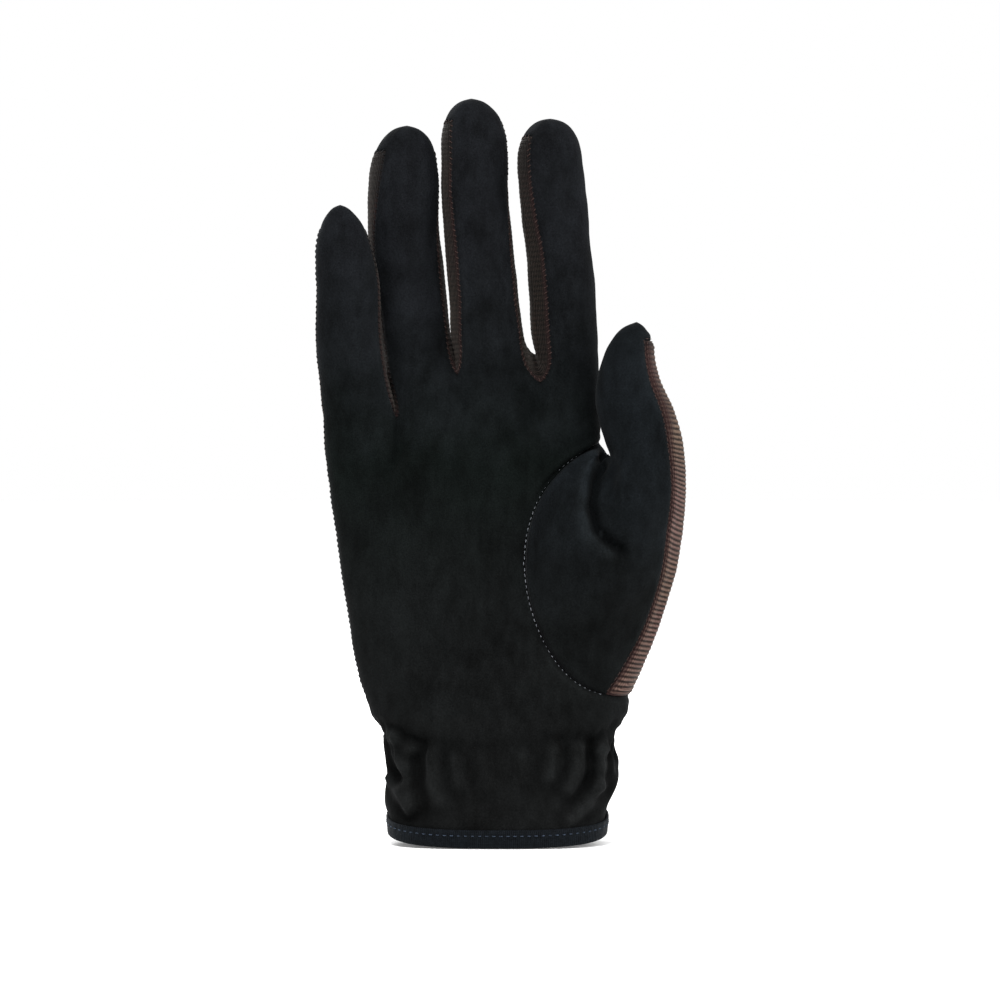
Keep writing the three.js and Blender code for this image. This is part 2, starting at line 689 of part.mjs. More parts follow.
function addFinger(index, hand, webIds) {
  const finger = fingers[index];
  const ring = fingerRing(index, hand, webIds);
  const top = fingerBase(finger) + finger.length;
  const capStart = fingerBase(finger) + finger.length * finger.cap;
  const bases = ring.map((item) => {
    const place = skin.points[item.id];
    const pull = place.clone().sub(fingerPoint(finger, place.z, ringAngle(index, item, 0)));
    return { place, pull };
  });
  const loops = [ring.map((item) => item.id)];
  for (const share of fingerRows.slice(1)) {
    loops.push(ring.map((item, k) => {
      const low = bases[k].place.z;
      const z = mix(low, capStart, share);
      const along = clamp((z - fingerBase(finger)) / finger.length);
      const point = fingerPoint(finger, z, ringAngle(index, item, along));
      const near = clamp(1 - (z - low) / webReach);
      return addPoint(point.addScaledVector(bases[k].pull, near ** 2));
    }));
  }
  for (const share of capRows) {
    const z = mix(capStart, top, share);
    loops.push(ring.map((item) => addPoint(fingerPoint(finger, z, ringAngle(index, item, 1)))));
  }
  const wrapped = loops.length - capRows.length;
  for (let level = 0; level < loops.length - 1; level += 1) {
    ring.forEach((item, k) => {
      const after = (k + 1) % ring.length;
      const label = level >= wrapped ? 'palm_panel' : sidePanel(index, item, ring[after]);
      const [lower, upper] = [loops[level], loops[level + 1]];
      addFace(label, [lower[k], lower[after], upper[after], upper[k]]);
    });
  }
  addPole('palm_panel', loops[loops.length - 1], fingerPoint(finger, top, 0));
}

// Closes a loop of points with a fan to one point
function addPole(panel, loop, point) {
  const pole = addPoint(point);
  loop.forEach((id, k) => addFace(panel, [id, loop[(k + 1) % loop.length], pole]));
}

function thumbValue(name, at) {
  const table = thumbSections.map((section, row) => ({ ...section, row }));
  return column(table, 'row', at, name);
}

function thumbPoint(at, line, facing) {
  const value = (name) => thumbValue(name, at);
  const inner = new THREE.Vector3(
    knuckleWidth * value('inX'), palmDepth * value('inY'), cuffHeight + palmHeight * value('inUp'));
  const outer = new THREE.Vector3(
    knuckleWidth * value('outX'), palmDepth * value('outY'), cuffHeight + palmHeight * value('outUp'));
  const side = facing < 0 ? 'front' : 'back';
  const reach = new THREE.Vector3(knuckleWidth * value(`${side}X`), palmDepth * value(`${side}Y`), 0);
  const slow = facing < 0 ? smooth(1 - (line - stripLines) / stripReach) : 0;
  const turned = mix(smooth(at / thumbTurnRows), smooth(at / stripTurnRows) ** stripTurnPower, slow);
  const turn = radians(mix(thumbTurns.hole[line], thumbTurns.top[line], turned));
  const centre = inner.clone().add(outer).multiplyScalar(0.5);
  const half = outer.clone().sub(inner).multiplyScalar(0.5);
  return centre.addScaledVector(half, Math.cos(turn)).addScaledVector(reach, Math.sin(turn));
}

function addThumb(hand) {
  const lines = [];
  for (let line = holeRows; line >= 0; line -= 1) {
    lines.push({ line, facing: -1, id: hand.front[cuffRows + line][frontColumns] });
  }
  for (let line = 1; line < holeRows; line += 1) {
    lines.push({ line, facing: 1, id: hand.back[cuffRows + line][0] });
  }
  const pulls = lines.map(({ line, facing, id }) => (
    skin.points[id].clone().sub(thumbPoint(0, line, facing))));
  const loops = [lines.map(({ id }) => id)];
  for (const at of thumbRows.slice(1)) {
    loops.push(lines.map(({ line, facing }, k) => {
      const near = 1 - smooth(at / thumbPull);
      return addPoint(thumbPoint(at, line, facing).addScaledVector(pulls[k], near));
    }));
  }
  const inStrip = ({ line, facing }) => (
    facing < 0 ? line <= thumbStrip.frontLine : line < thumbStrip.backLine);
  for (let level = 0; level < loops.length - 1; level += 1) {
    lines.forEach((item, k) => {
      const after = (k + 1) % lines.length;
      const strip = inStrip(item) && thumbRows[level] < thumbCapRow;
      const [lower, upper] = [loops[level], loops[level + 1]];
      addFace(strip ? 'thumb_back' : 'thumb_front', [lower[k], lower[after], upper[after], upper[k]]);
    });
  }
  const tip = new THREE.Vector3(
    knuckleWidth * thumbTip.x, palmDepth * thumbTip.y, cuffHeight + palmHeight * thumbTip.up);
  addPole('thumb_front', loops[loops.length - 1], tip);
}

// Triangles of a face, cut along its shorter diagonal
function faceTriangles(corners, points) {
  if (corners.length === 3) return [corners];
  const [a, b, c, d] = corners;
  const short = points[a].distanceTo(points[c]) <= points[b].distanceTo(points[d]);
  return short ? [[a, b, c], [a, c, d]] : [[a, b, d], [b, c, d]];
}

// Outward directions at the skin's points, each face weighted by its angle there
function skinNormals() {
  const normals = skin.points.map(() => new THREE.Vector3());
  for (const { corners } of skin.faces) {
    for (const triangle of faceTriangles(corners, skin.points)) {
      const [p, q, r] = triangle.map((id) => skin.points[id]);
      const normal = q.clone().sub(p).cross(r.clone().sub(p)).normalize();
      triangle.forEach((id, k) => {
        const here = skin.points[id];
        const next = skin.points[triangle[(k + 1) % 3]].clone().sub(here);
        const back = skin.points[triangle[(k + 2) % 3]].clone().sub(here);
        normals[id].addScaledVector(normal, next.angleTo(back));
      });
    }
  }
  normals.forEach((normal) => normal.normalize());
  return normals;
}

// Height of the folds and gathers over the smooth skin

function gatherHeight(point) {
  const window = smooth(1 - Math.abs(point.z - gatherCentre) / gatherReach);
  const section = handSection(point.z);
  const angle = Math.atan2((point.x - section.middle) / section.half, -point.y / section.front);
  const wave = Math.cos(angle * gatherCount + Math.sin(angle * gatherSpread.drift));
  const sideways = mix(gatherSpread.middle, 1, Math.sin(angle) ** 2);
  return gatherDepth * window * wave * sideways;
}

function dentHeight(point, normal) {
  let height = 0;
  for (const dent of dents) {
    const dx = (point.x - knuckleWidth * dent.x) / (knuckleWidth * dent.reachX);
    const centre = cuffHeight + palmHeight * (dent.up + dent.lean * dent.reachUp * dx);
    const dz = (point.z - centre) / (palmHeight * dent.reachUp);
    const facing = smooth(normal.y * dent.facing * 2);
    height -= foldDepth * dent.depth * facing * Math.exp(-dx * dx - dz * dz);
  }
  return height;
}

function creaseHeight(point, normal) {
  let nearest = Infinity;
  for (let k = 0; k + 1 < crease.length; k += 1) {
    const ends = [crease[k], crease[k + 1]].map((entry) => new THREE.Vector3(
      knuckleWidth * entry.x, 0, cuffHeight + palmHeight * entry.up));
    const line = new THREE.Line3(ends[0], ends[1]);
    const flat = new THREE.Vector3(point.x, 0, point.z);
    const foot = line.closestPointToPoint(flat, true, new THREE.Vector3());
    nearest = Math.min(nearest, foot.distanceTo(flat));
  }
  const facing = smooth(-normal.y * 2);
  return -creaseDepth * facing * Math.exp(-((nearest / creaseReach) ** 2));
}

function foldSkin() {
  const normals = skinNormals();
  skin.points.forEach((point, id) => {
    const normal = normals[id];
    const height = gatherHeight(point) + dentHeight(point, normal) + creaseHeight(point, normal);
    point.addScaledVector(normal, height);
  });
}

// Panels with a wall

// Moves the edge of a panel inwards by half the seam's gap
function insetEdge(edges, normals) {
  const inward = new Map();
  for (const [a, b] of edges) {
    const along = skin.points[b].clone().sub(skin.points[a]).normalize();
    for (const id of [a, b]) {
      const left = normals[id].clone().cross(along).normalize();
      if (!inward.has(id)) inward.set(id, []);
      inward.get(id).push(left);
    }
  }
  const moved = new Map();
  for (const [id, lefts] of inward) {
    const mean = lefts.reduce((sum, left) => sum.add(left), new THREE.Vector3()).normalize();
    const corner = Math.max(sharpestCorner, mean.dot(lefts[0]));
    moved.set(id, skin.points[id].clone().addScaledVector(mean, seamGap / 2 / corner));
  }
  return moved;
}

function edgesOf(triangles) {
  const seen = new Map();
  for (const triangle of triangles) {
    triangle.forEach((a, k) => seen.set(`${a},${triangle[(k + 1) % 3]}`, [a, triangle[(k + 1) % 3]]));
  }
  return [...seen.values()].filter(([a, b]) => !seen.has(`${b},${a}`));
}

function panelGeometry(panel, wall, normals) {
  const faces = skin.faces.filter((face) => face.panel === panel);
  const triangles = faces.flatMap((face) => faceTriangles(face.corners, skin.points));
  const edges = edgesOf(triangles);
  const moved = insetEdge(edges, normals);
  const ids = [...new Set(triangles.flat())];
  const outer = new Map(ids.map((id, k) => [id, k]));
  const positions = [];
  for (const layer of [0, wall]) {
    for (const id of ids) {
      const point = (moved.get(id) ?? skin.points[id]).clone();
      positions.push(...point.addScaledVector(normals[id], -layer).toArray());
    }
  }
  const inner = (id) => outer.get(id) + ids.length;
  const index = [];
  for (const [a, b, c] of triangles) {
    index.push(outer.get(a), outer.get(b), outer.get(c));
    index.push(inner(a), inner(c), inner(b));
  }
  // Both panels at a seam cut their facing side walls along the same diagonal
  for (const [a, b] of edges) {
    if (a < b) {
      index.push(outer.get(b), outer.get(a), inner(b));
      index.push(outer.get(a), inner(a), inner(b));
    } else {
      index.push(outer.get(b), outer.get(a), inner(a));
      index.push(outer.get(b), inner(a), inner(b));
    }
  }
  return meshGeometry(positions, index);
}

function meshGeometry(positions, index) {
  const geometry = new THREE.BufferGeometry();
  geometry.setAttribute('position', new THREE.Float32BufferAttribute(positions, 3));
  geometry.setIndex(index);
  geometry.computeVertexNormals();
  return geometry;
}

// Binding folded over the hem: a channel that the panels' lower edges stand in

function bindingGeometry(hemAngles) {
  const outside = bindingClearance + bindingWall;
  const inside = -(suedeWall + bindingClearance);
  const round = bindingWall * bindingRounding;
  const profile = [
    [inside - bindingWall + round, 0], [outside - round, 0],
    [outside, round], [outside, bindingHeight],
    [bindingClearance, bindingHeight], [bindingClearance, bindingWall],
    [inside, bindingWall], [inside, bindingHeight],
    [inside - bindingWall, bindingHeight], [inside - bindingWall, round],
  ];
  const angles = [
    ...hemAngles[0].slice(0, -1).map((place) => place.angle),
    ...hemAngles[1].slice(0, -1).map((place) => place.angle),
  ];
  const turnStep = 1;
  const positions = [];
  for (const angle of angles) {
    for (const [offset, height] of profile) {
      const point = handPoint(angle, height);
      const along = handPoint(angle + turnStep, height).sub(handPoint(angle - turnStep, height));
      const out = new THREE.Vector3(along.y, -along.x, 0).normalize();
      positions.push(...tilted(point.addScaledVector(out, offset)).toArray());
    }
  }
  const index = [];
  const count = profile.length;
  angles.forEach((_, k) => {
    const here = k * count;
    const next = ((k + 1) % angles.length) * count;
    for (let side = 0; side < count; side += 1) {
      const after = (side + 1) % count;
      index.push(here + side, next + side, next + after);
      index.push(here + side, next + after, here + after);
    }
  });
  return meshGeometry(positions, index);
}

// Assembly

const hand = addHand();
const webIds = webs.map((web) => {
  const steps = Array.from({ length: sideFaces - 1 }, (_, k) => (k + 1) / sideFaces);
  return steps.map((share) => addPoint(webPoint(web, share)));
});
fingers.forEach((_, index) => addFinger(index, hand, webIds));
addThumb(hand);
foldSkin();
const normals = skinNormals();

const panels = [
  { name: 'palm_panel', wall: suedeWall, colour: colours.suede },
  { name: 'back_panel', wall: knitWall, colour: colours.knit },
  { name: 'cuff_back', wall: suedeWall, colour: colours.suede },
  { name: 'thumb_front', wall: suedeWall, colour: colours.suede },
  { name: 'thumb_back', wall: knitWall, colour: colours.knit },
  { name: 'fourchette_little_ring', wall: knitWall, colour: colours.knit },
  { name: 'fourchette_ring_middle', wall: knitWall, colour: colours.knit },
  { name: 'fourchette_middle_index', wall: knitWall, colour: colours.knit },
];

function addMesh(group, name, geometry, colour) {
  const material = new THREE.MeshStandardMaterial({ color: colour, roughness: 0.9, metalness: 0 });
  const mesh = new THREE.Mesh(geometry, material);
  mesh.name = name;
  group.add(mesh);
}

const glove = new THREE.Group();
for (const { name, wall, colour } of panels) {
  addMesh(glove, name, panelGeometry(name, wall, normals), colour);
}
addMesh(glove, 'hem_binding', bindingGeometry(hand.hemAngles), colours.binding);

export default glove;
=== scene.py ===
import math

import bpy
import numpy as np
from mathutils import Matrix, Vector, kdtree, noise
from mathutils.bvhtree import BVHTree


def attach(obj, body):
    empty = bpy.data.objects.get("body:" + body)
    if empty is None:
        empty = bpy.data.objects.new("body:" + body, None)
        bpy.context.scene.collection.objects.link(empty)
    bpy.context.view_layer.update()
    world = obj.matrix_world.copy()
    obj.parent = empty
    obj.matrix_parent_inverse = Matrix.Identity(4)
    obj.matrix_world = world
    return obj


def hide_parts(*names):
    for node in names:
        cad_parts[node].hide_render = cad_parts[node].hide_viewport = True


# Riding glove for the right hand: palm to -Y, fingers up +Z, thumb to +X.
# Shapes are worked out in millimetres and turned into metres when a mesh is made.

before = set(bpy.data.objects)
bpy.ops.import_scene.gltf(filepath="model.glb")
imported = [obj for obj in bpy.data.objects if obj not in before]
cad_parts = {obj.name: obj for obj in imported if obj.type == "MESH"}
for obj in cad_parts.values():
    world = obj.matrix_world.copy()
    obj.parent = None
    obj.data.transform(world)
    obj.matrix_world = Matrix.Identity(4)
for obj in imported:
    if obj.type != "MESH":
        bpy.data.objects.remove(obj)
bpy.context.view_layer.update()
METRES = 0.001
TINY = 1e-12


def rows(names, *values):
    keys = names.split()
    return [dict(zip(keys, row)) for row in values]


# Sizes of the hand, cuff, fingers and cloth, as in the part's source

CUFF_HEIGHT = 45
PALM_HEIGHT = 94
CUFF_WIDTH = 68
KNUCKLE_WIDTH = 86
CUFF_DEPTH = 40
PALM_DEPTH = 27
HEM_RISE = 7.3
CUFF_POWER = 2.7
PALM_POWER = 2.4
FINGER_WIDTH = 22
FINGER_DEPTH = 21
FINGER_POWER = 2.08
KNUCKLE_BLEND = 28
WEB_RISE = 9
WEB_REACH = 10
SUEDE_WALL = 1.1
KNIT_WALL = 1.0
BINDING_HEIGHT = 5.5
BINDING_WALL = 0.7
BINDING_CLEARANCE = 0.3
GATHER_DEPTH = 1.3
GATHER_COUNT = 20
GATHER_CENTRE = 24
GATHER_REACH = 13
FOLD_DEPTH = 2
CREASE_DEPTH = 3.6
CREASE_REACH = 3.4
RIGHT_SEAM_ANGLE = 100
FRONT_FACES = 7
BACK_FACES = 6
SIDE_FACES = 2
CUFF_ROWS = 9
PALM_ROWS = 14
HOLE_ROWS = 12
RELAX_PASSES = 4
RELAX_REACH = 3.5
REACH_PER_DEGREE = 0.5
HOLE_SAG = 5
EDGE_STEP = 1.7
EDGE_STEPS = 7
FINGER_ROWS = [0, 0.08, 0.2, 0.4, 0.6, 0.8, 1]
CAP_ROWS = [0.52, 0.86]
SEAM_TURN_START = 0.45
SEAM_TURN_LENGTH = 0.35
STRIP_TURN_ROWS = 4.3
STRIP_TURN_POWER = 2.2
STRIP_LINES = 3
STRIP_REACH = 4
THUMB_ROWS = [0, 0.5, 1, 1.6, 2.2, 2.8, 3.4, 4, 5, 6, 7, 8, 9]
THUMB_CAP_ROW = 8
THUMB_PULL = 1.5
STRIP_FRONT_LINE = 2
STRIP_BACK_LINE = 9
BACK_SEAM_ANGLE = 125
HEM_EDGE = BINDING_WALL + BINDING_CLEARANCE
LAST_ROW = CUFF_ROWS + PALM_ROWS
FRONT_COLUMNS = 4 * FRONT_FACES
BACK_COLUMNS = 4 * BACK_FACES + 2 * SIDE_FACES
HAND_GROWTH_START = 0.6
HAND_GROWTH_LENGTH = 0.8
KNUCKLE_FOLLOW_START = 0.58
SAG_ROWS = 4.5
BACK_SAG = 0.4
HOLE_PULL_WIDTH = 1.15
HOLE_PULL_POWER = 1.5
RELAX_WIDTH = 1.4
RELAX_START = 0.3
THUMB_TURN_ROWS = 2
GATHER_DRIFT = 3
GATHER_MIDDLE = 0.5
FACING_SHARPNESS = 2
FULL_TURN = 360

HAND_OUTLINE = rows(
    "up left right front back",
    (0.000, -0.484, 0.488, 0.500, 0.500),
    (0.120, -0.490, 0.495, 0.498, 0.498),
    (0.236, -0.510, 0.515, 0.490, 0.490),
    (0.356, -0.499, 0.543, 0.486, 0.486),
    (0.444, -0.491, 0.547, 0.483, 0.483),
    (0.533, -0.488, 0.537, 0.480, 0.480),
    (0.600, -0.506, 0.532, 0.475, 0.475),
    (0.813, -0.518, 0.535, 0.470, 0.470),
    (0.978, -0.524, 0.540, 0.490, 0.480),
    (1.088, -0.543, 0.526, 0.520, 0.500),
    (1.187, -0.543, 0.489, 0.555, 0.510),
    (1.286, -0.544, 0.457, 0.580, 0.520),
    (1.435, -0.563, 0.428, 0.580, 0.520),
    (1.583, -0.587, 0.413, 0.560, 0.515),
    (1.732, -0.602, 0.395, 0.540, 0.505),
    (1.847, -0.616, 0.386, 0.520, 0.500),
    (1.966, -0.631, 0.371, 0.500, 0.490),
    (2.124, -0.649, 0.364, 0.470, 0.460),
)
FRONT_LINES = {"cuff": [-89, -32, 4, 44, 100], "knuckle": [-89, -22, 0, 32, 100]}
BACK_LINES = {"cuff": [100, 142, 180, 218, 271], "knuckle": [100, 148, 180, 204, 271]}
HOLE_BOTTOM = 0.002
HOLE_TOP = 0.840
HOLE_FRONT = rows(
    "x up",
    (0.452, 0.004), (0.3895, 0.013), (0.2965, 0.047), (0.215, 0.117), (0.148, 0.220), (0.108, 0.335),
    (0.0965, 0.457), (0.114, 0.574), (0.166, 0.682), (0.238, 0.762), (0.320, 0.815),
)
HOLE_BACK = rows(
    "x up",
    (0.4535, 0.016), (0.428, 0.043), (0.401, 0.085), (0.372, 0.149), (0.349, 0.229), (0.331, 0.324),
    (0.323, 0.436), (0.326, 0.548), (0.337, 0.649), (0.352, 0.734), (0.370, 0.798),
)
HOLE_TURNS = [0, 6, 13, 26.6, 43, 61, 78, 95, 111.5, 128, 144, 160, 180]
TOP_TURNS = [0, 25, 50, 64, 77, 90, 102, 114, 126, 139, 152, 166, 180]
THUMB_SECTIONS = rows(
    "row inX inY inUp outX outY outUp frontX frontY backX backY",
    (0, 0.386, 0.04, 0.840, 0.483, 0.11, 0.002, -0.337, -0.630, -0.108, 0.426),
    (1, 0.399, -0.04, 0.801, 0.544, 0.00, 0.138, -0.227, -0.850, -0.087, 0.463),
    (2, 0.409, -0.11, 0.791, 0.619, -0.15, 0.340, -0.128, -0.833, -0.058, 0.481),
    (3, 0.410, -0.22, 0.796, 0.660, -0.33, 0.548, -0.058, -0.740, -0.023, 0.463),
    (4, 0.391, -0.37, 0.830, 0.671, -0.48, 0.766, -0.012, -0.520, 0, 0.407),
    (5, 0.357, -0.48, 0.941, 0.638, -0.59, 0.920, 0, -0.426, 0, 0.370),
    (6, 0.358, -0.57, 1.043, 0.581, -0.65, 1.037, 0, -0.380, 0, 0.344),
    (7, 0.384, -0.65, 1.124, 0.558, -0.685, 1.127, 0, -0.326, 0, 0.304),
    (8, 0.407, -0.685, 1.164, 0.549, -0.70, 1.166, 0, -0.260, 0, 0.248),
    (9, 0.4395, -0.70, 1.203, 0.530, -0.715, 1.203, 0, -0.160, 0, 0.156),
)
THUMB_TIP = {"x": 0.495, "y": -0.715, "up": 1.228}
FINGERS = [
    {
        "length": 65.5, "base": 0.920, "roll": -8, "cap": 0.740, "capPower": 1.7,
        "left": [-74, -82], "right": [76, 84],
        "sections": rows(
            "along x half y depth",
            (0.000, -0.491, 0.514, -0.095, 0.480), (0.084, -0.502, 0.500, -0.190, 0.460),
            (0.293, -0.524, 0.477, -0.345, 0.440), (0.463, -0.530, 0.455, -0.400, 0.420),
            (0.634, -0.532, 0.445, -0.460, 0.400), (0.740, -0.543, 0.423, -0.500, 0.390),
            (1.000, -0.560, 0.400, -0.520, 0.380),
        ),
    },
    {
        "length": 83.8, "base": 0.989, "roll": 10, "cap": 0.797, "capPower": 2,
        "left": [-72, -46], "right": [52, 78],
        "sections": rows(
            "along x half y depth",
            (0.000, -0.265, 0.438, 0.050, 0.490), (0.152, -0.289, 0.492, 0.125, 0.485),
            (0.284, -0.3016, 0.503, 0.135, 0.480), (0.358, -0.309, 0.512, 0.120, 0.478),
            (0.453, -0.323, 0.502, 0.060, 0.470), (0.549, -0.334, 0.511, 0.000, 0.462),
            (0.680, -0.341, 0.500, -0.050, 0.450), (0.797, -0.338, 0.498, -0.095, 0.435),
            (1.000, -0.324, 0.480, -0.143, 0.420),
        ),
    },
    {
        "length": 86.8, "base": 1.047, "roll": 18, "cap": 0.821, "capPower": 2,
        "left": [-60, -60], "right": [46, 70],
        "sections": rows(
            "along x half y depth",
            (0.000, -0.007, 0.527, -0.010, 0.495), (0.084, -0.0275, 0.516, -0.110, 0.490),
            (0.256, -0.0435, 0.500, -0.160, 0.480), (0.330, -0.0506, 0.489, -0.155, 0.475),
            (0.470, -0.0616, 0.477, -0.140, 0.465), (0.598, -0.0744, 0.473, -0.130, 0.455),
            (0.821, -0.0826, 0.468, -0.140, 0.435), (1.000, -0.093, 0.450, -0.143, 0.420),
        ),
    },
    {
        "length": 81.4, "base": 1.035, "roll": 15, "cap": 0.848, "capPower": 2,
        "left": [-41, -53], "right": [105, 105],
        "sections": rows(
            "along x half y depth",
            (0.000, 0.2605, 0.427, -0.024, 0.480), (0.103, 0.2477, 0.4545, -0.040, 0.478),
            (0.286, 0.235, 0.477, -0.080, 0.470), (0.468, 0.223, 0.464, -0.120, 0.460),
            (0.651, 0.2035, 0.473, -0.165, 0.450), (0.803, 0.188, 0.468, -0.200, 0.437),
            (0.848, 0.1895, 0.459, -0.215, 0.430), (1.000, 0.191, 0.440, -0.238, 0.420),
        ),
    },
]
WEBS = rows(
    "up frontX midX backX frontY backY",
    (0.920, -0.357, -0.371, -0.370, -0.24, 0.27),
    (1.0585, -0.143, -0.150, -0.149, -0.24, 0.29),
    (1.035, 0.155, 0.140, 0.140, -0.24, 0.25),
)
OUTER_EDGES = {"little": 0.904, "index": 1.021}
DENTS = rows(
    "x up reachX reachUp lean depth facing",
    (-0.02, 0.170, 0.36, 0.035, 0.05, 0.55, -1),
    (-0.05, -0.045, 0.34, 0.040, 0, 0.60, -1),
    (-0.12, 0.600, 0.20, 0.260, 0.2, 1.00, -1),
    (-0.30, 1.270, 0.16, 0.035, 0, 0.25, -1),
    (-0.05, 1.330, 0.16, 0.035, 0, 0.25, -1),
    (0.23, 1.300, 0.16, 0.035, 0, 0.25, -1),
    (0.00, 0.930, 0.10, 0.10, 0, -0.60, 1),
    (0.22, 0.900, 0.09, 0.10, 0, -0.55, 1),
    (-0.22, 0.880, 0.09, 0.10, 0, -0.50, 1),
    (-0.44, 0.800, 0.09, 0.10, 0, -0.40, 1),
    (0.00, 0.060, 0.36, 0.040, 0, 0.50, 1),
)
CREASE = rows("x up", (0.382, 0.740), (0.371, 0.640), (0.385, 0.550), (0.432, 0.495))


# Small helpers


def mix(a, b, t):
    return a + (b - a) * t


def clamp(t):
    return min(1.0, max(0.0, t))


def smooth(t):
    s = np.clip(t, 0, 1)
    return s * s * (3 - 2 * s)


# One at the place, falling off over the reach
def bell(value, place, reach):
    return np.exp(-(((value - place) / reach) ** 2))


def unit(vectors):
    return vectors / np.maximum(np.linalg.norm(vectors, axis=1, keepdims=True), TINY)


# Length along a line of points, at each point
def run_length(line):
    return np.concatenate([[0], np.cumsum(np.linalg.norm(np.diff(line, axis=0), axis=1))])


# Height above the hem of a place that is given as a share of the palm's height
def palm_level(up):
    return CUFF_HEIGHT + PALM_HEIGHT * up


def signed_power(value, power):
    return math.copysign(abs(value) ** power, value)


def column(table, key, at, name):
    last = len(table) - 1
    if at <= table[0][key]:
        return table[0][name]
    if at >= table[last][key]:
        return table[last][name]
    row = 0
    while table[row + 1][key] < at:
        row += 1

    def slope(r):
        a = table[max(r - 1, 0)]
        b = table[min(r + 1, last)]
        return (b[name] - a[name]) / (b[key] - a[key])

    span = table[row + 1][key] - table[row][key]
    t = (at - table[row][key]) / span
    lower = table[row][name] + slope(row) * span * t
    upper = table[row + 1][name] - slope(row + 1) * span * (1 - t)
    return mix(lower, upper, smooth(t))


def list_value(values, at):
    index = min(int(math.floor(at)), len(values) - 2)
    return mix(values[index], values[index + 1], at - index)


# Section of the hand


def hand_section(z):
    up = z / CUFF_HEIGHT if z < CUFF_HEIGHT else 1 + (z - CUFF_HEIGHT) / PALM_HEIGHT
    grown = smooth((up - HAND_GROWTH_START) / HAND_GROWTH_LENGTH)
    width = mix(CUFF_WIDTH, KNUCKLE_WIDTH, grown)
    depth = mix(CUFF_DEPTH, PALM_DEPTH, grown)
    left = width * column(HAND_OUTLINE, "up", up, "left")
    right = width * column(HAND_OUTLINE, "up", up, "right")
    return {
        "middle": (left + right) / 2,
        "half": (right - left) / 2,
        "front": depth * column(HAND_OUTLINE, "up", up, "front"),
        "back": depth * column(HAND_OUTLINE, "up", up, "back"),
        "power": mix(CUFF_POWER, PALM_POWER, grown),
    }


def hand_point(angle, z):
    section = hand_section(z)
    turn = math.radians(angle)
    across = signed_power(math.sin(turn), 2 / section["power"])
    along = signed_power(math.cos(turn), 2 / section["power"])
    reach = section["front"] if along > 0 else section["back"]
    return np.array([section["middle"] + section["half"] * across, -reach * along, z])


def hand_angle(x, z, facing):
    section = hand_section(z)
    across = min(1, max(-1, (x - section["middle"]) / section["half"]))
    turn = math.degrees(math.asin(signed_power(across, section["power"] / 2)))
    return turn if facing < 0 else 180 - turn


# The hem is level at the palm side and rises to the back
def tilted(point):
    share = clamp(1 - point[2] / CUFF_HEIGHT)
    return point + np.array([0, 0, HEM_RISE * (point[1] / CUFF_DEPTH + 0.5) * share])


# Section of a finger


def finger_base(finger):
    return palm_level(finger["base"])


def finger_point(finger, z, angle):
    along = (z - finger_base(finger)) / finger["length"]
    cap, power = finger["cap"], finger["capPower"]
    past = clamp((along - cap) / (1 - cap))
    rounding = (1 - past**power) ** (1 / power)
    seen = FINGER_WIDTH * column(finger["sections"], "along", min(along, cap), "half") * rounding
    deep = FINGER_DEPTH * column(finger["sections"], "along", along, "depth") * rounding
    roll = math.radians(finger["roll"])
    half = math.sqrt(max(0.0, seen**2 - (deep * math.sin(roll)) ** 2)) / math.cos(roll)
    turn = math.radians(angle)
    across = half * signed_power(math.sin(turn), 2 / FINGER_POWER)
    back = -deep * signed_power(math.cos(turn), 2 / FINGER_POWER)
    x = KNUCKLE_WIDTH * column(finger["sections"], "along", along, "x")
    y = FINGER_DEPTH * column(finger["sections"], "along", along, "y")
    return np.array([
        x + across * math.cos(roll) - back * math.sin(roll),
        y + across * math.sin(roll) + back * math.cos(roll),
        z,
    ])


def web_point(web, share):
    if share < 0.5:
        x = mix(web["frontX"], web["midX"], smooth(share * 2))
    else:
        x = mix(web["midX"], web["backX"], share * 2 - 1)
    rise = WEB_RISE * math.sin(math.pi / 2 * share)
    return np.array([
        KNUCKLE_WIDTH * x,
        PALM_DEPTH * mix(web["frontY"], web["backY"], share),
        palm_level(web["up"]) + rise,
    ])


def finger_arc(index, facing, along):
    finger = FINGERS[index]
    turned = smooth((along - SEAM_TURN_START) / SEAM_TURN_LENGTH)
    left = mix(finger["left"][0], finger["left"][1], turned)
    right = mix(finger["right"][0], finger["right"][1], turned)
    if facing < 0:
        return left, right
    back_right = right if index == len(FINGERS) - 1 else BACK_SEAM_ANGLE - finger["roll"]
    back_left = left + FULL_TURN if index == 0 else FULL_TURN - BACK_SEAM_ANGLE - finger["roll"]
    return back_right, back_left


def knuckle_point(index, facing, share, z):
    start, end = finger_arc(index, facing, 0)
    finger = FINGERS[index]
    point = finger_point(finger, z, mix(start, end, share))
    left_web = WEBS[index - 1] if index > 0 else None
    right_web = WEBS[index] if index < 3 else None
    start_web, end_web = (left_web, right_web) if facing < 0 else (right_web, left_web)
    side = 0 if facing < 0 else 1
    for web, angle, weight in ((start_web, start, (1 - share) ** 2), (end_web, end, share**2)):
        if web is None:
            continue
        edge = web_point(web, side)
        edge[2] = z
        point = point + (edge - finger_point(finger, z, angle)) * weight
    return point


# Net of the hand: rows from the hem to the knuckles, columns round the hand


def row_height(row):
    if row <= CUFF_ROWS:
        return mix(HEM_EDGE, CUFF_HEIGHT, row / CUFF_ROWS)
    return mix(CUFF_HEIGHT, CUFF_HEIGHT + PALM_HEIGHT, (row - CUFF_ROWS) / PALM_ROWS)


def column_place(facing, at):
    if facing < 0:
        index = min(int(at // FRONT_FACES), 3)
        return index, at / FRONT_FACES - index
    edges = [SIDE_FACES + BACK_FACES * (k + 1) for k in range(4)]
    edges[3] = BACK_COLUMNS
    place = next(k for k, edge in enumerate(edges) if at <= edge)
    start = 0 if place == 0 else edges[place - 1]
    return 3 - place, (at - start) / (edges[place] - start)


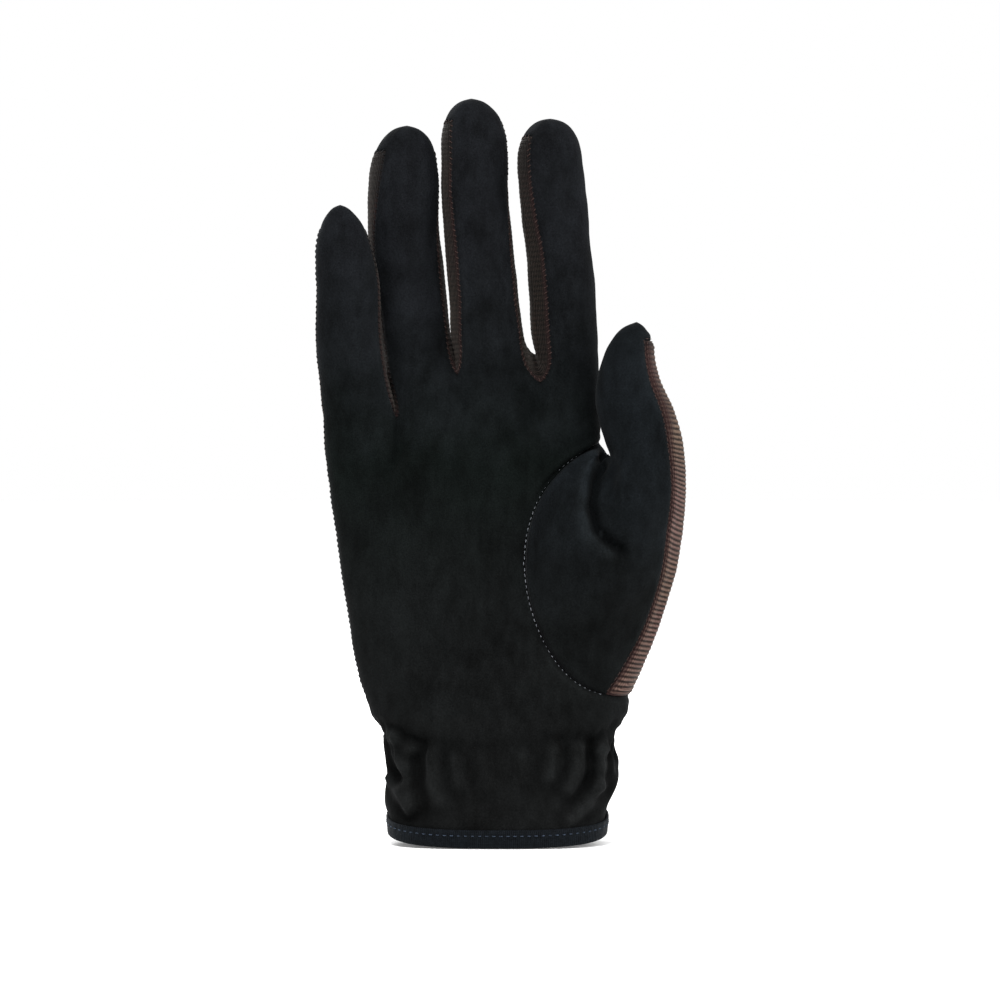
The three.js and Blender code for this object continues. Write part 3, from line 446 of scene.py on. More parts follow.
def knuckle_height(facing, at):
    index, share = column_place(facing, at)
    side = 0 if facing < 0 else 1
    outer_left = palm_level(OUTER_EDGES["little"])
    outer_right = palm_level(OUTER_EDGES["index"])
    left = outer_left if index == 0 else web_point(WEBS[index - 1], side)[2]
    right = outer_right if index == 3 else web_point(WEBS[index], side)[2]
    return mix(left, right, smooth(share)) if facing < 0 else mix(right, left, smooth(share))


def hole_seam(facing, row):
    step = row - CUFF_ROWS
    if step < 0 or step > HOLE_ROWS:
        return None
    if step == 0:
        return palm_level(HOLE_BOTTOM), RIGHT_SEAM_ANGLE
    if step == HOLE_ROWS:
        return palm_level(HOLE_TOP), RIGHT_SEAM_ANGLE
    entry = (HOLE_FRONT if facing < 0 else HOLE_BACK)[step - 1]
    z = palm_level(entry["up"])
    return z, hand_angle(KNUCKLE_WIDTH * entry["x"], z, facing)


def hole_edge(facing, row):
    seam = hole_seam(facing, row)
    if seam is None:
        return None
    below = hole_seam(facing, row - 1) or (seam[0] - 1, seam[1])
    above = hole_seam(facing, row + 1) or (seam[0] + 1, seam[1])
    away = np.array([below[0] - above[0], (above[1] - below[1]) * REACH_PER_DEGREE])
    if facing > 0:
        away = -away
    away = away / np.linalg.norm(away)
    return seam, away[0] / REACH_PER_DEGREE, away[1]


def net_place(facing, row, at):
    columns = FRONT_COLUMNS if facing < 0 else BACK_COLUMNS
    index, share = column_place(facing, at)
    lines = FRONT_LINES if facing < 0 else BACK_LINES
    place = index + share if facing < 0 else 3 - index + share
    high = smooth((row - CUFF_ROWS) / PALM_ROWS)
    angle = mix(list_value(lines["cuff"], place), list_value(lines["knuckle"], place), high)
    if row < CUFF_ROWS:
        top_angle, top_z = net_place(facing, CUFF_ROWS, at)
        rise = row / CUFF_ROWS
        return mix(angle, top_angle, smooth(rise)), mix(HEM_EDGE, top_z, rise)
    nominal = row_height(row)
    followed = (nominal - CUFF_HEIGHT) / PALM_HEIGHT - KNUCKLE_FOLLOW_START
    near_top = smooth(followed / (1 - KNUCKLE_FOLLOW_START))
    z = nominal + (knuckle_height(facing, at) - CUFF_HEIGHT - PALM_HEIGHT) * near_top
    edge = hole_edge(facing, row)
    if edge:
        (seam_z, seam_angle), away_angle, away_z = edge
        near = at / columns if facing < 0 else 1 - at / columns
        steps = columns - at if facing < 0 else at
        step = row - CUFF_ROWS
        sag = HOLE_SAG * (smooth(1 - step / SAG_ROWS) - smooth(1 - (HOLE_ROWS - step) / SAG_ROWS))
        sag *= 1 if facing < 0 else BACK_SAG
        z = mix(z, seam_z - sag, smooth(near * HOLE_PULL_WIDTH) ** HOLE_PULL_POWER)
        angle += (seam_angle - RIGHT_SEAM_ANGLE) * near**HOLE_PULL_POWER
        close = smooth(1 - steps / EDGE_STEPS)
        z = mix(z, seam_z + away_z * EDGE_STEP * steps, close)
        angle = mix(angle, seam_angle + away_angle * EDGE_STEP * steps, close)
    return angle, z


def hand_net(facing):
    columns = FRONT_COLUMNS if facing < 0 else BACK_COLUMNS
    net = np.array([
        [net_place(facing, row, at) for at in range(columns + 1)] for row in range(LAST_ROW + 1)])
    ends = [min(abs(row - CUFF_ROWS), abs(row - CUFF_ROWS - HOLE_ROWS)) for row in range(1, LAST_ROW)]
    inner = np.arange(1, columns)
    near = inner / columns if facing < 0 else 1 - inner / columns
    strength = smooth(near * RELAX_WIDTH - RELAX_START)[None, :]
    strength = strength * smooth(1 - np.array(ends) / RELAX_REACH)[:, None]
    for _ in range(RELAX_PASSES):
        average = (net[:-2, 1:-1] + net[2:, 1:-1] + net[1:-1, :-2] + net[1:-1, 2:]) / 4
        net[1:-1, 1:-1] = mix(net[1:-1, 1:-1], average, strength[:, :, None])
    return net


def net_point(facing, angle, z, at):
    index, share = column_place(facing, at)
    blend = smooth(1 - (knuckle_height(facing, at) - z) / KNUCKLE_BLEND)
    hand = tilted(hand_point(angle, z))
    if blend == 0:
        return hand
    return mix(hand, knuckle_point(index, facing, share, z), blend)


# The whole skin: shared points, and faces that each name their panel

points = []
row_places = []
faces = []
face_panels = []
PANELS = [
    "palm_panel", "back_panel", "cuff_back", "thumb_front", "thumb_back",
    "fourchette_little_ring", "fourchette_ring_middle", "fourchette_middle_index",
]
GAPS = PANELS[5:]


# Each point keeps its row: on the thumb from its hole, at 0, to its tip, on a finger from its base,
# at 0, to its cap, at 1. The points of the hand count as half a row below.
def add_point(point, row_place=-0.5):
    points.append(point)
    row_places.append(row_place)
    return len(points) - 1


def add_face(panel, corners):
    faces.append(corners)
    face_panels.append(PANELS.index(panel))


def add_hand():
    front_net, back_net = hand_net(-1), hand_net(1)
    front = [
        [add_point(net_point(-1, *place, at)) for at, place in enumerate(line)] for line in front_net
    ]
    back = []
    for row, line in enumerate(back_net):
        is_open = CUFF_ROWS < row < CUFF_ROWS + HOLE_ROWS
        ids = []
        for at, place in enumerate(line):
            if at == 0 and not is_open:
                ids.append(front[row][FRONT_COLUMNS])
            elif at == BACK_COLUMNS:
                ids.append(front[row][0])
            else:
                ids.append(add_point(net_point(1, *place, at)))
        back.append(ids)
    for net, columns, is_front in ((front, FRONT_COLUMNS, True), (back, BACK_COLUMNS, False)):
        for row in range(LAST_ROW):
            panel = "palm_panel" if is_front else ("cuff_back" if row < CUFF_ROWS else "back_panel")
            for at in range(columns):
                lower, upper = net[row], net[row + 1]
                add_face(panel, [lower[at], lower[at + 1], upper[at + 1], upper[at]])
    hem = [place[0] for place in front_net[0][:-1]] + [place[0] for place in back_net[0][:-1]]
    return front, back, hem


def finger_ring(index, front, back, web_ids):
    outer_left = SIDE_FACES if index == 0 else 0
    outer_right = SIDE_FACES if index == 3 else 0
    ring = []
    first = index * FRONT_FACES
    for k in range(FRONT_FACES + 1):
        ring.append((front[LAST_ROW][first + k], "front", k / FRONT_FACES))
    if index < 3:
        ring += [(i, "right", (k + 1) / SIDE_FACES) for k, i in enumerate(web_ids[index])]
    back_start = 0 if outer_right else SIDE_FACES + (3 - index) * BACK_FACES
    back_count = BACK_FACES + outer_left + outer_right
    for k in range(1 if outer_right else 0, back_count - (1 if outer_left else 0) + 1):
        ring.append((back[LAST_ROW][back_start + k], "back", k / back_count))
    if index > 0:
        ids = web_ids[index - 1][::-1]
        ring += [(i, "left", (k + 1) / SIDE_FACES) for k, i in enumerate(ids)]
    return ring


def ring_angle(index, part, share, along):
    left, right = finger_arc(index, -1, along)
    back_right, back_left = finger_arc(index, 1, along)
    ends = {
        "front": (left, right),
        "right": (right, back_right),
        "back": (back_right, back_left),
        "left": (back_left, left + FULL_TURN),
    }[part]
    return mix(*ends, share)


def side_panel(index, part, next_part):
    if part == "front" and next_part == "front":
        return "palm_panel"
    if part == "right" or (part == "front" and next_part == "right"):
        return GAPS[index]
    if part == "left" or (part == "back" and next_part == "left"):
        return GAPS[index - 1]
    return "back_panel"


def add_loops(loops, panel_of):
    for level in range(len(loops) - 1):
        lower, upper = loops[level], loops[level + 1]
        for k in range(len(lower)):
            after = (k + 1) % len(lower)
            add_face(panel_of(level, k, after), [lower[k], lower[after], upper[after], upper[k]])


def add_pole(panel, loop, point, row_place=0.0):
    pole = add_point(point, row_place)
    for k, start in enumerate(loop):
        add_face(panel, [start, loop[(k + 1) % len(loop)], pole])


def add_finger(index, front, back, web_ids):
    finger = FINGERS[index]
    ring = finger_ring(index, front, back, web_ids)
    base = finger_base(finger)
    top = base + finger["length"]
    cap_start = base + finger["length"] * finger["cap"]
    bases = []
    for i, part, share in ring:
        place = points[i]
        angle = ring_angle(index, part, share, 0)
        bases.append((place[2], place - finger_point(finger, place[2], angle)))
    loops = [[i for i, _, _ in ring]]
    for level in FINGER_ROWS[1:]:
        loop = []
        for (i, part, share), (low, pull) in zip(ring, bases):
            z = mix(low, cap_start, level)
            along = clamp((z - base) / finger["length"])
            near = clamp(1 - (z - low) / WEB_REACH)
            point = finger_point(finger, z, ring_angle(index, part, share, along)) + pull * near**2
            loop.append(add_point(point, level))
        loops.append(loop)
    for level in CAP_ROWS:
        z = mix(cap_start, top, level)
        loops.append([
            add_point(finger_point(finger, z, ring_angle(index, part, share, 1)), 1 + level)
            for _, part, share in ring
        ])
    wrapped = len(loops) - len(CAP_ROWS)

    def panel_of(level, k, after):
        if level >= wrapped:
            return "palm_panel"
        return side_panel(index, ring[k][1], ring[after][1])

    add_loops(loops, panel_of)
    add_pole("palm_panel", loops[-1], finger_point(finger, top, 0))


def thumb_place(x, y, up):
    return np.array([KNUCKLE_WIDTH * x, PALM_DEPTH * y, palm_level(up)])


def thumb_ends(at):
    value = {name: column(THUMB_SECTIONS, "row", at, name) for name in THUMB_SECTIONS[0]}
    inner = thumb_place(value["inX"], value["inY"], value["inUp"])
    outer = thumb_place(value["outX"], value["outY"], value["outUp"])
    return inner, outer, value


def thumb_point(at, line, facing):
    inner, outer, value = thumb_ends(at)
    side = "front" if facing < 0 else "back"
    reach = np.array([KNUCKLE_WIDTH * value[side + "X"], PALM_DEPTH * value[side + "Y"], 0])
    slow = smooth(1 - (line - STRIP_LINES) / STRIP_REACH) if facing < 0 else 0
    turned = mix(smooth(at / THUMB_TURN_ROWS), smooth(at / STRIP_TURN_ROWS) ** STRIP_TURN_POWER, slow)
    turn = math.radians(mix(HOLE_TURNS[line], TOP_TURNS[line], turned))
    return (inner + outer) / 2 + (outer - inner) / 2 * math.cos(turn) + reach * math.sin(turn)


def add_thumb(front, back):
    lines = [(line, -1, front[CUFF_ROWS + line][FRONT_COLUMNS]) for line in range(HOLE_ROWS, -1, -1)]
    lines += [(line, 1, back[CUFF_ROWS + line][0]) for line in range(1, HOLE_ROWS)]
    pulls = [points[i] - thumb_point(0, line, facing) for line, facing, i in lines]
    loops = [[i for _, _, i in lines]]
    for i in loops[0]:
        row_places[i] = 0.0
    for at in THUMB_ROWS[1:]:
        near = 1 - smooth(at / THUMB_PULL)
        loops.append([
            add_point(thumb_point(at, line, facing) + pull * near, at)
            for (line, facing, _), pull in zip(lines, pulls)
        ])

    def panel_of(level, k, _):
        line, facing, _ = lines[k]
        in_strip = line <= STRIP_FRONT_LINE if facing < 0 else line < STRIP_BACK_LINE
        return "thumb_back" if in_strip and THUMB_ROWS[level] < THUMB_CAP_ROW else "thumb_front"

    add_loops(loops, panel_of)
    add_pole("thumb_front", loops[-1], thumb_place(**THUMB_TIP), THUMB_ROWS[-1])


# Meshes as arrays: polygons are kept as loops of corners


class Net:
    def __init__(self, polygons, panel, turned=None):
        self.corner = np.concatenate([np.array(p) for p in polygons])
        sizes = np.array([len(p) for p in polygons])
        starts = np.concatenate([[0], np.cumsum(sizes)[:-1]])
        self.face = np.repeat(np.arange(len(sizes)), sizes)
        place = np.arange(len(self.corner)) - starts[self.face]
        self.following = starts[self.face] + (place + 1) % sizes[self.face]
        self.previous = starts[self.face] + (place - 1) % sizes[self.face]
        self.place = place
        self.sizes = sizes
        self.panel = np.array(panel)
        self.turned = np.zeros(len(sizes), bool) if turned is None else turned
        pairs = np.stack([self.corner, self.corner[self.following]], 1)
        keys = np.sort(pairs, 1)
        self.edges, self.edge_of, self.uses = np.unique(
            keys, axis=0, return_inverse=True, return_counts=True)
        self.edge_of = self.edge_of.reshape(-1)


def gather_sum(ids, values, count):
    return np.stack([np.bincount(ids, values[:, k], count) for k in range(values.shape[1])], 1)


# One Catmull-Clark step. The old vertices keep their numbers.
def subdivide(net, values):
    count = len(values)
    face_points = gather_sum(net.face, values[net.corner], len(net.sizes)) / net.sizes[:, None]
    middles = values[net.edges].mean(1)
    rim = net.uses == 1
    face_sum = gather_sum(net.edge_of, face_points[net.face], len(net.edges))
    edge_points = np.where(rim[:, None], middles, (values[net.edges].sum(1) + face_sum) / 4)
    valence = np.bincount(net.edges.reshape(-1), minlength=count)[:, None]
    face_count = np.bincount(net.corner, minlength=count)[:, None]
    around_faces = gather_sum(net.corner, face_points[net.face], count) / np.maximum(face_count, 1)
    around_edges = gather_sum(net.edges.reshape(-1), np.repeat(middles, 2, 0), count)
    around_edges = around_edges / np.maximum(valence, 1)
    moved = (around_faces + 2 * around_edges + (valence - 3) * values) / np.maximum(valence, 1)
    rim_ends = net.edges[rim].reshape(-1)
    if len(rim_ends):
        neighbours = gather_sum(rim_ends, values[net.edges[rim][:, ::-1].reshape(-1)], count)
        on_rim = np.bincount(rim_ends, minlength=count) > 0
        moved[on_rim] = values[on_rim] * 0.75 + neighbours[on_rim] / 8
    edge_ids = count + net.edge_of
    face_ids = count + len(net.edges) + net.face
    quads = np.stack([net.corner, edge_ids, face_ids, edge_ids[net.previous]], 1)
    turned = net.turned[net.face] ^ (net.place % 2 == 1)
    return Net(quads, net.panel[net.face], turned), np.concatenate([moved, edge_points, face_points])


# Halves each face lengthwise. Its first edge runs across the finger or thumb unless it is turned.
def halve_along(net, values):
    quads, edges = net.corner.reshape(-1, 4), net.edge_of.reshape(-1, 4)
    quads = np.where(net.turned[:, None], np.roll(quads, -1, 1), quads)
    edges = np.where(net.turned[:, None], np.roll(edges, -1, 1), edges)
    used, middle = np.unique(edges[:, [1, 3]], return_inverse=True)
    middle = middle.reshape(-1, 2) + len(values)
    lower = np.stack([quads[:, 0], quads[:, 1], middle[:, 0], middle[:, 1]], 1)
    upper = np.stack([middle[:, 1], middle[:, 0], quads[:, 2], quads[:, 3]], 1)
    halves = Net(np.concatenate([lower, upper]), np.zeros(2 * len(quads), int))
    return halves, np.concatenate([values, values[net.edges[used]].mean(1)])


def normals_of(net, values):
    here = values[net.corner]
    ahead = values[net.corner[net.following]] - here
    behind = values[net.corner[net.previous]] - here
    total = gather_sum(net.corner, np.cross(ahead, behind), len(values))
    return unit(total)


front_ids, back_ids, hem_angles = add_hand()
web_ids = [
    [add_point(web_point(web, (k + 1) / SIDE_FACES)) for k in range(SIDE_FACES - 1)] for web in WEBS
]
for finger_index in range(4):
    add_finger(finger_index, front_ids, back_ids, web_ids)
add_thumb(front_ids, back_ids)


# Main folds and gathers, as in the part's source


def polyline_distance(flat, line):
    nearest = np.full(len(flat), np.inf)
    for start, end in zip(line[:-1], line[1:]):
        along = end - start
        share = np.clip(((flat - start) @ along) / (along @ along), 0, 1)
        nearest = np.minimum(nearest, np.linalg.norm(flat - start - share[:, None] * along, axis=1))
    return nearest


def palm_side(normal):
    return smooth(-normal[:, 1] * FACING_SHARPNESS)


def hand_flat(entries):
    return [np.array([KNUCKLE_WIDTH * entry["x"], palm_level(entry["up"])]) for entry in entries]


def main_folds(place, normal):
    x, z = place[:, 0], place[:, 2]
    window = smooth(1 - np.abs(z - GATHER_CENTRE) / GATHER_REACH)
    sections = [hand_section(height) if w > 0 else None for height, w in zip(z, window)]
    angle = np.array([
        math.atan2((p[0] - s["middle"]) / s["half"], -p[1] / s["front"]) if s else 0
        for p, s in zip(place, sections)
    ])
    wave = np.cos(angle * GATHER_COUNT + np.sin(angle * GATHER_DRIFT))
    height = GATHER_DEPTH * window * wave * mix(GATHER_MIDDLE, 1, np.sin(angle) ** 2)
    for dent in DENTS:
        dx = (x - KNUCKLE_WIDTH * dent["x"]) / (KNUCKLE_WIDTH * dent["reachX"])
        centre = palm_level(dent["up"] + dent["lean"] * dent["reachUp"] * dx)
        dz = (z - centre) / (PALM_HEIGHT * dent["reachUp"])
        facing = smooth(normal[:, 1] * dent["facing"] * FACING_SHARPNESS)
        height = height - FOLD_DEPTH * dent["depth"] * facing * np.exp(-dx * dx - dz * dz)
    nearest = polyline_distance(place[:, [0, 2]], hand_flat(CREASE))
    crease = CREASE_DEPTH * bell(nearest, 0, CREASE_REACH)
    return height - crease * palm_side(normal)


base_net = Net(faces, face_panels)
base_points = np.array(points)
base_normals = normals_of(base_net, base_points)
base_points = base_points + base_normals * main_folds(base_points, base_normals)[:, None]

# Control points whose smooth surface passes through the skin's points

FIT_PASSES = 4
controls = base_points.copy()
for _ in range(FIT_PASSES):
    once_net, first = subdivide(base_net, controls)
    _, second = subdivide(once_net, first)
    controls += base_points - second[: len(controls)]

SKIN_LEVELS = 3
nets = [base_net]
values = np.concatenate([controls, np.array(row_places)[:, None]], 1)
for _ in range(SKIN_LEVELS):
    next_net, values = subdivide(nets[-1], values)
    nets.append(next_net)
skin_net = nets[-1]
skin = values[:, :3]
skin_row = values[:, 3]

# Seams: the edges where two panels meet

edge_faces = np.full((len(skin_net.edges), 2), -1)
edge_faces[skin_net.edge_of, 0] = skin_net.face
edge_faces[skin_net.edge_of[::-1], 1] = skin_net.face[::-1]
edge_panels = skin_net.panel[edge_faces]
is_seam = (edge_panels[:, 0] != edge_panels[:, 1]) & (skin_net.uses == 2)
seam_ends = skin[skin_net.edges[is_seam]]
seam_samples = np.concatenate([
    mix(seam_ends[:, 0], seam_ends[:, 1], share) for share in (0, 0.25, 0.5, 0.75)])
seam_tree = kdtree.KDTree(len(seam_samples))
for number, sample in enumerate(seam_samples):
    seam_tree.insert(sample, number)
seam_tree.balance()
seam_found = [seam_tree.find(place)[1:] for place in skin]
seam_distance = np.array([found[1] for found in seam_found])
seam_number = np.array([found[0] for found in seam_found]) % int(is_seam.sum())
# Seams round the fingers lie flatter than those of the thumb and the wrist
thumb_panels = [PANELS.index(name) for name in ("thumb_front", "thumb_back", "cuff_back")]
seam_is_deep = np.isin(edge_panels[is_seam], thumb_panels).any(1)[seam_number]


def seam_chains(a, b):
    pair = {PANELS.index(a), PANELS.index(b)}
    chosen = is_seam & np.isin(edge_panels, list(pair)).all(1)
    links = {}
    for start, end in skin_net.edges[chosen].tolist():
        links.setdefault(start, []).append(end)
        links.setdefault(end, []).append(start)
    chains = []
    while links:
        start = min(links, key=lambda i: (len(links[i]), skin[i][2]))
        chain = [start]
        while True:
            here = chain[-1]
            onward = links.get(here, [])
            if not onward:
                links.pop(here, None)
                break
            after = onward.pop()
            if not onward:
                links.pop(here)
            links[after].remove(here)
            chain.append(after)
        if len(chain) > 2:
            chains.append(chain)
    return chains


# Finer form: rolled seams, soft creases in the cloth and the gathers at the wrist

ROLL_DEPTH = 0.5
FLAT_ROLL_DEPTH = 0.2
ROLL_REACH = 0.75
WELT_RISE = 0.25
WELT_PLACE = 1.9
WELT_REACH = 1.1
# x as a share of the cuff's width, up as a share of its height, on the palm side
CUFF_RIDGES = rows(
    "rise reach line",
    (1.2, 1.5, [(-0.525, 0.775), (-0.46, 0.735), (-0.375, 0.665)]),
    (1.2, 1.5, [(-0.475, 0.74), (-0.46, 0.62), (-0.43, 0.53)]),
    (1.5, 1.9, [(-0.405, 0.63), (-0.40, 0.50), (-0.41, 0.40), (-0.38, 0.29)]),
    (1.3, 1.4, [(-0.49, 0.45), (-0.455, 0.36), (-0.405, 0.25)]),
    (0.8, 2.0, [(-0.30, 0.62), (-0.29, 0.44), (-0.26, 0.32)]),
    (0.6, 1.9, [(-0.19, 0.60), (-0.17, 0.44)]),
    (1.2, 1.4, [(0.56, 0.80), (0.50, 0.72), (0.455, 0.65)]),
    (1.5, 1.5, [(0.475, 0.65), (0.465, 0.50), (0.46, 0.41)]),
    (1.4, 1.7, [(0.46, 0.41), (0.41, 0.30), (0.33, 0.18)]),
    (1.1, 1.8, [(0.37, 0.66), (0.365, 0.52), (0.32, 0.40)]),
    (0.8, 1.9, [(0.25, 0.66), (0.24, 0.48)]),
    (0.5, 1.9, [(0.10, 0.62), (0.11, 0.46)]),
    (0.5, 1.8, [(-0.06, 0.60), (-0.04, 0.42)]),
)
WEB_CREASE = rows(
    "x up",
    (0.386, 0.798), (0.350, 0.715), (0.335, 0.633), (0.353, 0.557), (0.389, 0.517), (0.436, 0.491),
)
WEB_CREASE_DEPTH = 2.6
WEB_CREASE_REACH = 1.5
WEB_RIDGE_RISE = 1.5
WEB_RIDGE_PLACE = 3.2
WEB_RIDGE_REACH = 2.0
WEB_RIDGE_DROP = 0.5
GATHER_LINE = 0.67
GATHER_LINE_DEPTH = 1.2
GATHER_LINE_REACH = 2.0
PUFF_RISE = 0.9
PUFF_PLACE = 5
PUFF_REACH = 3
FINE_GATHERS = 46
FINE_GATHER_DEPTH = 0.34
WRINKLE_DEPTH = 0.5
WRINKLE_LENGTH = 24
RIDGE_HOLLOW = 0.45
RIDGE_HOLLOW_PLACE = 2.2
GATHER_LINE_LIFT = 0.1
GATHER_FRONT_SHARE = 0.35
GATHER_FAN_PLACE = 4
GATHER_FAN_REACH = 11
FINE_DRIFT = 3
FINE_DRIFT_WAVES = 5
WIDE_STRETCH = np.array([1, 1, 1.6])
FINE_STRETCH = np.array([0.8, 0.8, 2.2])
FINE_SHARE = 0.3
# Largest ridge height that lightens or darkens the suede, as painted highlight, wear and painted shade
MOST_WEAR_LIGHT_AND_SHADE = 1.5
HEM_FADE_FRONT = 3
HEM_FADE_BACK = 4
HEM_FADE_DEPTH = 15
RIDGE_FACING = 2.5
RIDGE_FACING_START = 0.2
NOISE_SHIFT = (17.3, 5.1, 11.7)


def noise_of(place, scale, seed):
    shift = Vector([seed * step for step in NOISE_SHIFT])
    return np.array([noise.noise(Vector(p) / scale + shift) for p in place])


def cuff_ridges(place, normal):
    flat = place[:, [0, 2]]
    facing = smooth(-normal[:, 1] * RIDGE_FACING + RIDGE_FACING_START)
    height = np.zeros(len(place))
    for ridge in CUFF_RIDGES:
        line = [np.array([CUFF_WIDTH * x, CUFF_HEIGHT * up]) for x, up in ridge["line"]]
        distance = polyline_distance(flat, line) / ridge["reach"]
        hollow = RIDGE_HOLLOW * bell(distance, RIDGE_HOLLOW_PLACE, 1)
        height += ridge["rise"] * (bell(distance, 0, 1) - hollow)
    return height * facing


def fine_folds(place):
    turn = np.arctan2(place[:, 0], -place[:, 1])
    level = CUFF_HEIGHT * (GATHER_LINE + GATHER_LINE_LIFT * np.abs(np.sin(turn)) ** 3)
    below = level - place[:, 2]
    sides = mix(GATHER_FRONT_SHARE, 1, np.sin(turn) ** 2)
    height = -GATHER_LINE_DEPTH * bell(below, 0, GATHER_LINE_REACH) * sides
    height += PUFF_RISE * bell(below, -PUFF_PLACE, PUFF_REACH) * sides
    fan = smooth(1 - np.abs(below - GATHER_FAN_PLACE) / GATHER_FAN_REACH)
    wave = np.sin(turn * FINE_GATHERS + FINE_DRIFT * np.sin(turn * FINE_DRIFT_WAVES))
    height += FINE_GATHER_DEPTH * fan * wave * sides
    wide = noise_of(place * WIDE_STRETCH, WRINKLE_LENGTH, 1)
    fine = noise_of(place * FINE_STRETCH, WRINKLE_LENGTH / 3, 2)
    return height + WRINKLE_DEPTH * (wide + FINE_SHARE * fine)


def web_crease(place, normal):
    line = hand_flat(WEB_CREASE)
    flat = place[:, [0, 2]]
    distance = polyline_distance(flat, line)
    beside = np.array([-WEB_RIDGE_PLACE, -WEB_RIDGE_DROP * WEB_RIDGE_PLACE])
    ridge = polyline_distance(flat, [point + beside for point in line])
    height = WEB_RIDGE_RISE * bell(ridge, 0, WEB_RIDGE_REACH)
    height = height - WEB_CREASE_DEPTH * bell(distance, 0, WEB_CREASE_REACH)
    return height * palm_side(normal)


def rolled_seam(distance, is_deep):
    roll = -np.where(is_deep, ROLL_DEPTH, FLAT_ROLL_DEPTH) * bell(distance, 0, ROLL_REACH)
    return roll + np.where(is_deep, WELT_RISE, 0) * bell(distance, WELT_PLACE, WELT_REACH)


skin_normals = normals_of(skin_net, skin)
raised = cuff_ridges(skin, skin_normals) + web_crease(skin, skin_normals)
skin_height = raised + fine_folds(skin) + rolled_seam(seam_distance, seam_is_deep)
# From the ridges' and crease's height: lighter on crests, as painted highlight and wear, and darker in the
# crease and hollows, as painted shade
skin_wear_light_and_shade = np.clip(raised, -MOST_WEAR_LIGHT_AND_SHADE, MOST_WEAR_LIGHT_AND_SHADE)
# The folds run out above the binding, whose edge rises to the back
front_fade = smooth((skin[:, 2] - BINDING_HEIGHT) / HEM_FADE_FRONT)
back_fade = smooth((skin[:, 2] - BINDING_HEIGHT - HEM_RISE) / HEM_FADE_BACK)
above_hem = mix(front_fade, back_fade, smooth(skin[:, 1] / HEM_FADE_DEPTH))
skin = skin + skin_normals * (skin_height * above_hem)[:, None]
skin_normals = normals_of(skin_net, skin)

# Ribs of the knitted cloth: they follow the height on the hand and the length of the thumb

RIB_PITCH = 1.5
WALE_PITCH = 0.72
RIB_DEPTH = 0.26
FINE_RIB_DEPTH = 0.12
STRIP_SAMPLES = 46
strip_rows = np.linspace(0, THUMB_ROWS[-1], STRIP_SAMPLES)
strip_line = np.array([thumb_ends(at)[1] for at in strip_rows])
strip_length = run_length(strip_line)


def rib_place(panel, place, row_place):
    if panel == "thumb_back":
        return np.interp(row_place, strip_rows, strip_length)
    return place[:, 2]


def wale_place(panel, place, distance):
    return place[:, 0] if panel == "back_panel" else distance


# Objects


def make_object(name, vertices, polygons, attributes):
    mesh = bpy.data.meshes.new(name)
    mesh.from_pydata((vertices * METRES).tolist(), [], [list(map(int, p)) for p in polygons])
    for key, numbers in attributes.items():
        layer = mesh.attributes.new(key, "FLOAT", "POINT")
        layer.data.foreach_set("value", np.asarray(numbers, np.float32))
    mesh.polygons.foreach_set("use_smooth", np.ones(len(mesh.polygons), bool))
    mesh.update()
    made = bpy.data.objects.new(name, mesh)
    bpy.context.scene.collection.objects.link(made)
    return made


# Above this height the strip between the thumb's two seams is nearly all turned-in edge
STRIP_NARROW_HEIGHT = 118
STRIP_NARROW_LENGTH = 14
STRIP_NARROWING = 0.75
# Rows over which a strip darkens towards its upper end: the first row, and the rows that it takes
FADE_STARTS = {"fourchette": (0.86, 0.12), "thumb_back": (6.7, 1.3), "back_panel": (9, 1)}
EXTRA_LEVELS = {"thumb_back": 1, **dict.fromkeys(GAPS, 2)}
RIB_CREST = 0.6
RIB_START = 1.2
INSIDE_MARK = 9.0
SEAM_INSET = 0.07


